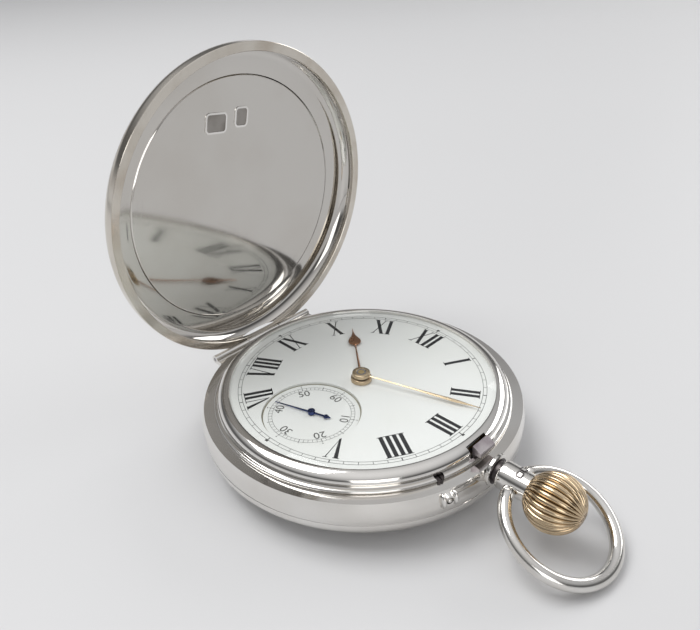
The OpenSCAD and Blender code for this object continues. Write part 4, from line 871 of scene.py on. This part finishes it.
# Nail set pin with its two guarding lugs
PIN_INSIDE, PIN_OUT, PIN_SHAFT = 20.4, 0.85, 0.4
SLOT_IN, SLOT_OUT = SCREW_R - 0.4, SCREW_R + 1
LUG_R, LUG_OUT, LUG_APART, LUG_FOOT = 0.36, 0.95, 0.91, 0.15
LUG_WIDER, LUG_TALLER = 1.3, 3.2
pin_turn = Matrix.Rotation(math.radians(PIN_ANGLE), 3, "Z")


def outward(points):
    """Points turned about Z at the origin, laid along the pin, which points out of the band."""
    return [pin_turn @ Vector((z, x, y)) + Vector((0, 0, PIN_Z)) for x, y, z in points]


def pin_piece():
    """The round pin, with a slot along its top for the screw that guides it."""
    tip = PIN_R + PIN_OUT - PIN_SHAFT
    profile = [(0, PIN_INSIDE), (PIN_SHAFT, PIN_INSIDE)] + arc(0, tip, PIN_SHAFT, PIN_SHAFT, 0, 90, 8)
    points, faces = lathe_points(profile, 40)
    obj = add_mesh("nail_pin", outward(points), faces, [SILVER])
    merge_points(obj)
    points, faces = block_points((-1, 0.05, SLOT_IN), (1, 1.05, SLOT_OUT))
    notch = add_mesh("pin_notch", outward(points), faces, [])
    merge_points(notch)
    cut_away(obj, [notch])
    shade_round(obj, 30)
    return obj


def lug_piece(side):
    """One of the two rounded lugs beside the nail set pin."""
    profile = arc(0, 0, LUG_R, LUG_OUT, -90, 90, 16)
    points, faces = lathe_points(profile[:-1] + [(0, LUG_OUT)], 32)
    points = [(x * LUG_WIDER + side * LUG_APART, y * LUG_TALLER, z + PIN_R + LUG_FOOT)
              for x, y, z in points]
    obj = add_mesh("pin_lug_" + ("left" if side > 0 else "right"), outward(points), faces, [SILVER])
    merge_points(obj)
    shade_round(obj, 40)
    return obj


dress(pin_piece(), "set_pin", "silver", "set_pin")
for side in (-1, 1):
    dress(lug_piece(side), "case", "silver")

# Bow, drawn thicker at its far end than at the sides
BOW_X = MOUTH_X - 2.7
BOW_RING = 7.95
BOW_THIN, BOW_THICK = 0.89, 1.0
BOW_PIN = 0.6
BOW_STEPS = 144
# The wire swells by END_SWELL over about END_FADE steps at each end, and the end itself is rounded
END_SWELL, END_FADE = 0.1, 9
END_ROUND, END_ROUND_STEPS = 0.25, 1.5
STEM_BORE = 1.1
BOW_DROP = math.asin((STEM_Z - BOW_THICK - 0.01) / (2 * BOW_RING))


def bow_piece():
    """The ring of the bow and the two pins on which it swings."""
    gap = math.degrees(math.asin((TUBE_R + 0.16) / BOW_RING))
    tilt = Matrix.Rotation(BOW_DROP, 3, "Y")
    centre = Vector((BOW_X, 0, STEM_Z))
    path, radii = [], []
    for i in range(BOW_STEPS + 1):
        a = 180 + gap + (360 - 2 * gap) * i / BOW_STEPS
        x, y = polar(BOW_RING, a)
        path.append(Vector((x + BOW_RING, y, 0)))
        from_end = min(i, BOW_STEPS - i)
        grow = 0.5 + 0.5 * math.cos(math.radians(a))
        dome = 1 - END_ROUND * max(0, 1 - from_end / END_ROUND_STEPS) ** 2
        swell = END_SWELL * math.exp(-from_end / END_FADE)
        radii.append((BOW_THIN + (BOW_THICK - BOW_THIN) * grow + swell) * dome)
    shapes = [tube_points(path, radii, 40)]
    for side in (-1, 1):
        ends = [Vector((0, side * y, 0)) for y in (STEM_BORE + 0.1, TUBE_R + 0.6)]
        shapes.append(tube_points(ends, [BOW_PIN, BOW_PIN], 24))
    points, faces = joined(shapes)
    obj = add_mesh("bow_ring", [centre + tilt @ p for p in points], faces, [BOW_SILVER])
    merge_points(obj)
    shade_round(obj, 45)
    return obj


dress(bow_piece(), "bow", "bow_silver", "bow")

# Hands: where each stands, and its half width at shares of its reach
BLADE_T = 0.17
HOUR_REACH, HOUR_ANGLE = 14.9, 139.3
HOUR_SHAPE = [(0.4, 0.15), (0.63, 0.12), (0.655, 0.3), (0.68, 0.85), (0.715, 1.05), (0.76, 1.0),
              (0.8, 0.72), (0.85, 0.36), (0.91, 0.15), (1, 0.04)]
HOUR_FOOT = (1.5, 0.2)
MINUTE_REACH, MINUTE_ANGLE, MINUTE_DROOP = 19.3, 18.8, 2.3
MINUTE_SHAPE = [(0.35, 0.16), (0.65, 0.27), (0.78, 0.34), (0.86, 0.25), (0.93, 0.12), (1, 0.04)]
MINUTE_FOOT = (1.2, 0.15)


def between(stations, steps=5):
    """A smooth run through the (reach, half width) stations of a hand's blade."""
    out = []
    for i in range(len(stations) - 1):
        a, b, c, d = (stations[max(0, min(len(stations) - 1, i + k))] for k in (-1, 0, 1, 2))
        for j in range(steps):
            t = j / steps
            x = b[0] + (c[0] - b[0]) * t
            w = 0.5 * (2 * b[1] + (c[1] - a[1]) * t + (2 * a[1] - 5 * b[1] + 4 * c[1] - d[1]) * t * t
                       + (3 * b[1] - a[1] - 3 * c[1] + d[1]) * t**3)
            out.append((x, max(w, 0.02)))
    return out + [stations[-1]]


def blade_points(stations):
    """A blade with a ridge along its middle."""
    points, faces = [], []
    for x, w in stations:
        ridge = BLADE_T * (0.75 + 0.25 * min(1, w / 0.3))
        points += [(x, -w, 0), (x, w, 0), (x, w, BLADE_T * 0.4), (x, 0, ridge), (x, -w, BLADE_T * 0.4)]
    for i in range(len(stations) - 1):
        for k in range(5):
            n = (k + 1) % 5
            faces.append((5 * i + k, 5 * i + n, 5 * i + 5 + n, 5 * i + 5 + k))
    last = 5 * (len(stations) - 1)
    return points, faces + [(4, 3, 2, 1, 0), tuple(last + k for k in range(5))]


def hand_piece(name, stations, angle, droop, z, hub_r, bore, hub_low, hub_high, material):
    """A blade on its hub, its foot at height z. droop tips the blade toward the dial."""
    turn = Matrix.Rotation(math.radians(angle), 3, "Z") @ Matrix.Rotation(math.radians(droop), 3, "Y")
    points, faces = blade_points(between(stations))
    blade = [turn @ Vector(p) + Vector((0, 0, z)) for p in points], faces
    hub = lathe_points([(bore, hub_low), (hub_r - 0.04, hub_low), (hub_r, hub_low + 0.05),
                        (hub_r, hub_high - 0.14), (hub_r - 0.05, hub_high - 0.05), (hub_r - 0.16, hub_high),
                        (bore + 0.05, hub_high), (bore, hub_high - 0.05)], 72)
    blade_faces = len(faces)
    obj = add_mesh(name, *joined([blade, hub]), [material, MINUTE_GOLD],
                   which=lambda i: 0 if i < blade_faces else 1)
    merge_points(obj)
    shade_round(obj, 28)
    return obj


hour_hand = hand_piece(
    "hour_blade", [HOUR_FOOT] + [(HOUR_REACH * share, width) for share, width in HOUR_SHAPE],
    angle=HOUR_ANGLE, droop=0, z=DIAL_TOP + 0.34, hub_r=1.66, bore=1.06, hub_low=DIAL_TOP + 0.05,
    hub_high=DIAL_TOP + 0.76, material=HOUR_BRONZE)
dress(hour_hand, "hour_hand", "gold_hand", "hour_hand")
minute_hand = hand_piece(
    "minute_blade", [MINUTE_FOOT] + [(MINUTE_REACH * share, width) for share, width in MINUTE_SHAPE],
    angle=MINUTE_ANGLE, droop=MINUTE_DROOP, z=DIAL_TOP + 1.15, hub_r=1.42, bore=0.76,
    hub_low=DIAL_TOP + 0.95, hub_high=DIAL_TOP + 1.6, material=MINUTE_GOLD)
dress(minute_hand, "minute_hand", "gold_hand", "minute_hand")

# Crown: the ball runs from CROWN_START to CROWN_END degrees, seen from its axis
RIBS, RIB_STEPS = 28, 14
GROOVE = 0.42
CROWN_R = 4.14
CROWN_START, CROWN_END, CROWN_RINGS = 33, 166, 56
# Mouth that goes over the pendant: places before the ball's middle, and radii
MOUTH = ((3.42, 2.36), (2.4, 2.3))


def crown_piece():
    """The ribbed ball of the crown, finer than the solid's, with its end boss."""
    steps, rings = RIBS * RIB_STEPS, CROWN_RINGS
    points, faces = [], []
    for j in range(rings + 1):
        b = math.radians(CROWN_START + (CROWN_END - CROWN_START) * j / rings)
        fade = min(1, 1.6 * math.sin(math.pi * (j * 12 / rings + 0.6) / 13))
        for i in range(steps):
            a = CIRCLE * i / steps
            dip = GROOVE * (1 - math.sqrt(1 - 0.98 * math.sin(a * RIBS / 2) ** 4)) * fade
            r = CROWN_R * math.sin(b) - dip
            points.append((CROWN_X - CROWN_R * math.cos(b), r * math.sin(a), STEM_Z - r * math.cos(a)))
    for j in range(rings):
        for i in range(steps):
            k = (i + 1) % steps
            faces.append((j * steps + i, j * steps + k, (j + 1) * steps + k, (j + 1) * steps + i))
    faces.append(tuple(rings * steps + i for i in range(steps)))
    inner = len(points)
    for before, radius in MOUTH:
        for i in range(steps):
            a = CIRCLE * i / steps
            points.append((CROWN_X - before, radius * math.sin(a), STEM_Z - radius * math.cos(a)))
    for i in range(steps):
        k = (i + 1) % steps
        faces.append((i, inner + i, inner + k, k))
        faces.append((inner + i, inner + steps + i, inner + steps + k, inner + k))
    faces.append(tuple(inner + steps + i for i in reversed(range(steps))))
    # The faces at the bottom of each groove take the painted shade
    valley = RIB_STEPS // 2
    return add_mesh("crown_ribs", points, faces, [CROWN_GOLD, CROWN_GROOVE_SHADE], 60,
                    which=lambda i: 1 if i < rings * steps and i % RIB_STEPS in (valley - 1, valley) else 0)


dress(crown_piece(), "crown", "gilt_crown", "crown")

# Stage
FLOOR = finish_material(
    "pale floor", (0.62, 0.62, 0.625), metallic=0, rough=0.5, swing=0.1, bump=0.02, scale=20,
    dirt=(0.60, 0.60, 0.605), dirt_amount=0.3)
FLOOR_R, FLOOR_SIDES = 1800, 96
edge = [(*polar(FLOOR_R, 360 * i / FLOOR_SIDES), 0) for i in range(FLOOR_SIDES)]
floor = add_mesh("floor", edge, [tuple(range(FLOOR_SIDES))], FLOOR)


def area_lamp(name, place, target, size, power):
    """A soft oblong lamp, its place, target and size in millimetres and its power in watts."""
    data = bpy.data.lights.new(name, "AREA")
    data.shape = "RECTANGLE"
    data.size, data.size_y = size[0] * MM, size[1] * MM
    data.energy = power
    lamp = bpy.data.objects.new(name, data)
    lamp.location = Vector(place) * MM
    aim = Vector(target) - Vector(place)
    lamp.rotation_euler = aim.to_track_quat("-Z", "Y").to_euler()
    bpy.context.scene.collection.objects.link(lamp)


area_lamp("key", place=(-320, -120, 660), target=(0, 0, 10), size=(520, 400), power=3.5)
area_lamp("fill", place=(660, -520, 360), target=(0, 0, 10), size=(480, 480), power=1.5)
area_lamp("rim", place=(120, 640, 320), target=(0, 0, 20), size=(600, 240), power=1.3)

# Studio sky: its level by height, with a dark band that gives the metal its contrast
SKY = {0.0: 0.66, 0.12: 0.64, 0.24: 0.12, 0.42: 0.12, 0.6: 0.42, 1.0: 0.88}
world = bpy.data.worlds.new("studio")
bpy.context.scene.world = world
world.use_nodes = True
nodes, links = world.node_tree.nodes, world.node_tree.links
shade = nodes["Background"]
place = nodes.new("ShaderNodeTexCoord")
split = nodes.new("ShaderNodeSeparateXYZ")
ramp = nodes.new("ShaderNodeValToRGB")
while len(ramp.color_ramp.elements) < len(SKY):
    ramp.color_ramp.elements.new(0.5)
for element, (position, level) in zip(ramp.color_ramp.elements, SKY.items()):
    element.position = position
    element.color = (level, level, level * 1.01, 1)
links.new(place.outputs["Generated"], split.inputs["Vector"])
links.new(split.outputs["Z"], ramp.inputs["Fac"])
links.new(ramp.outputs["Color"], shade.inputs["Color"])
shade.inputs["Strength"].default_value = 1

# Camera, fitted to the photograph's outlines: angles in degrees, lengths in millimetres
PHOTO_WIDTH, PHOTO_HEIGHT = 700, 630
AZIMUTH, ELEVATION, ROLL = 46.785, 33.072, -2.775
DISTANCE, FOCAL_PX = 117.126, 690.795
TARGET = Vector((-9.923, 3.249, 10.95))
CENTRE_PX = (331.783, 345.805)
SENSOR = 36
az, el, roll = (math.radians(v) for v in (AZIMUTH, ELEVATION, ROLL))
back = Vector((math.sin(az) * math.cos(el), -math.cos(az) * math.cos(el), math.sin(el)))
right = Vector((0, 0, 1)).cross(back).normalized()
up = back.cross(right)
right, up = (right * math.cos(roll) + up * math.sin(roll), up * math.cos(roll) - right * math.sin(roll))
camera_data = bpy.data.cameras.new("camera")
camera_data.sensor_width = SENSOR
camera_data.lens = FOCAL_PX / PHOTO_WIDTH * SENSOR
camera_data.shift_x = (PHOTO_WIDTH / 2 - CENTRE_PX[0]) / PHOTO_WIDTH
camera_data.shift_y = (CENTRE_PX[1] - PHOTO_HEIGHT / 2) / PHOTO_WIDTH
camera_data.clip_start = 0.005
camera_data.clip_end = 20
camera = bpy.data.objects.new("camera", camera_data)
bpy.context.scene.collection.objects.link(camera)
eye = (TARGET + back * DISTANCE) * MM
camera.matrix_world = Matrix.Translation(eye) @ Matrix((right, up, back)).transposed().to_4x4()
bpy.context.scene.camera = camera

bpy.context.scene.view_settings.view_transform = "Standard"
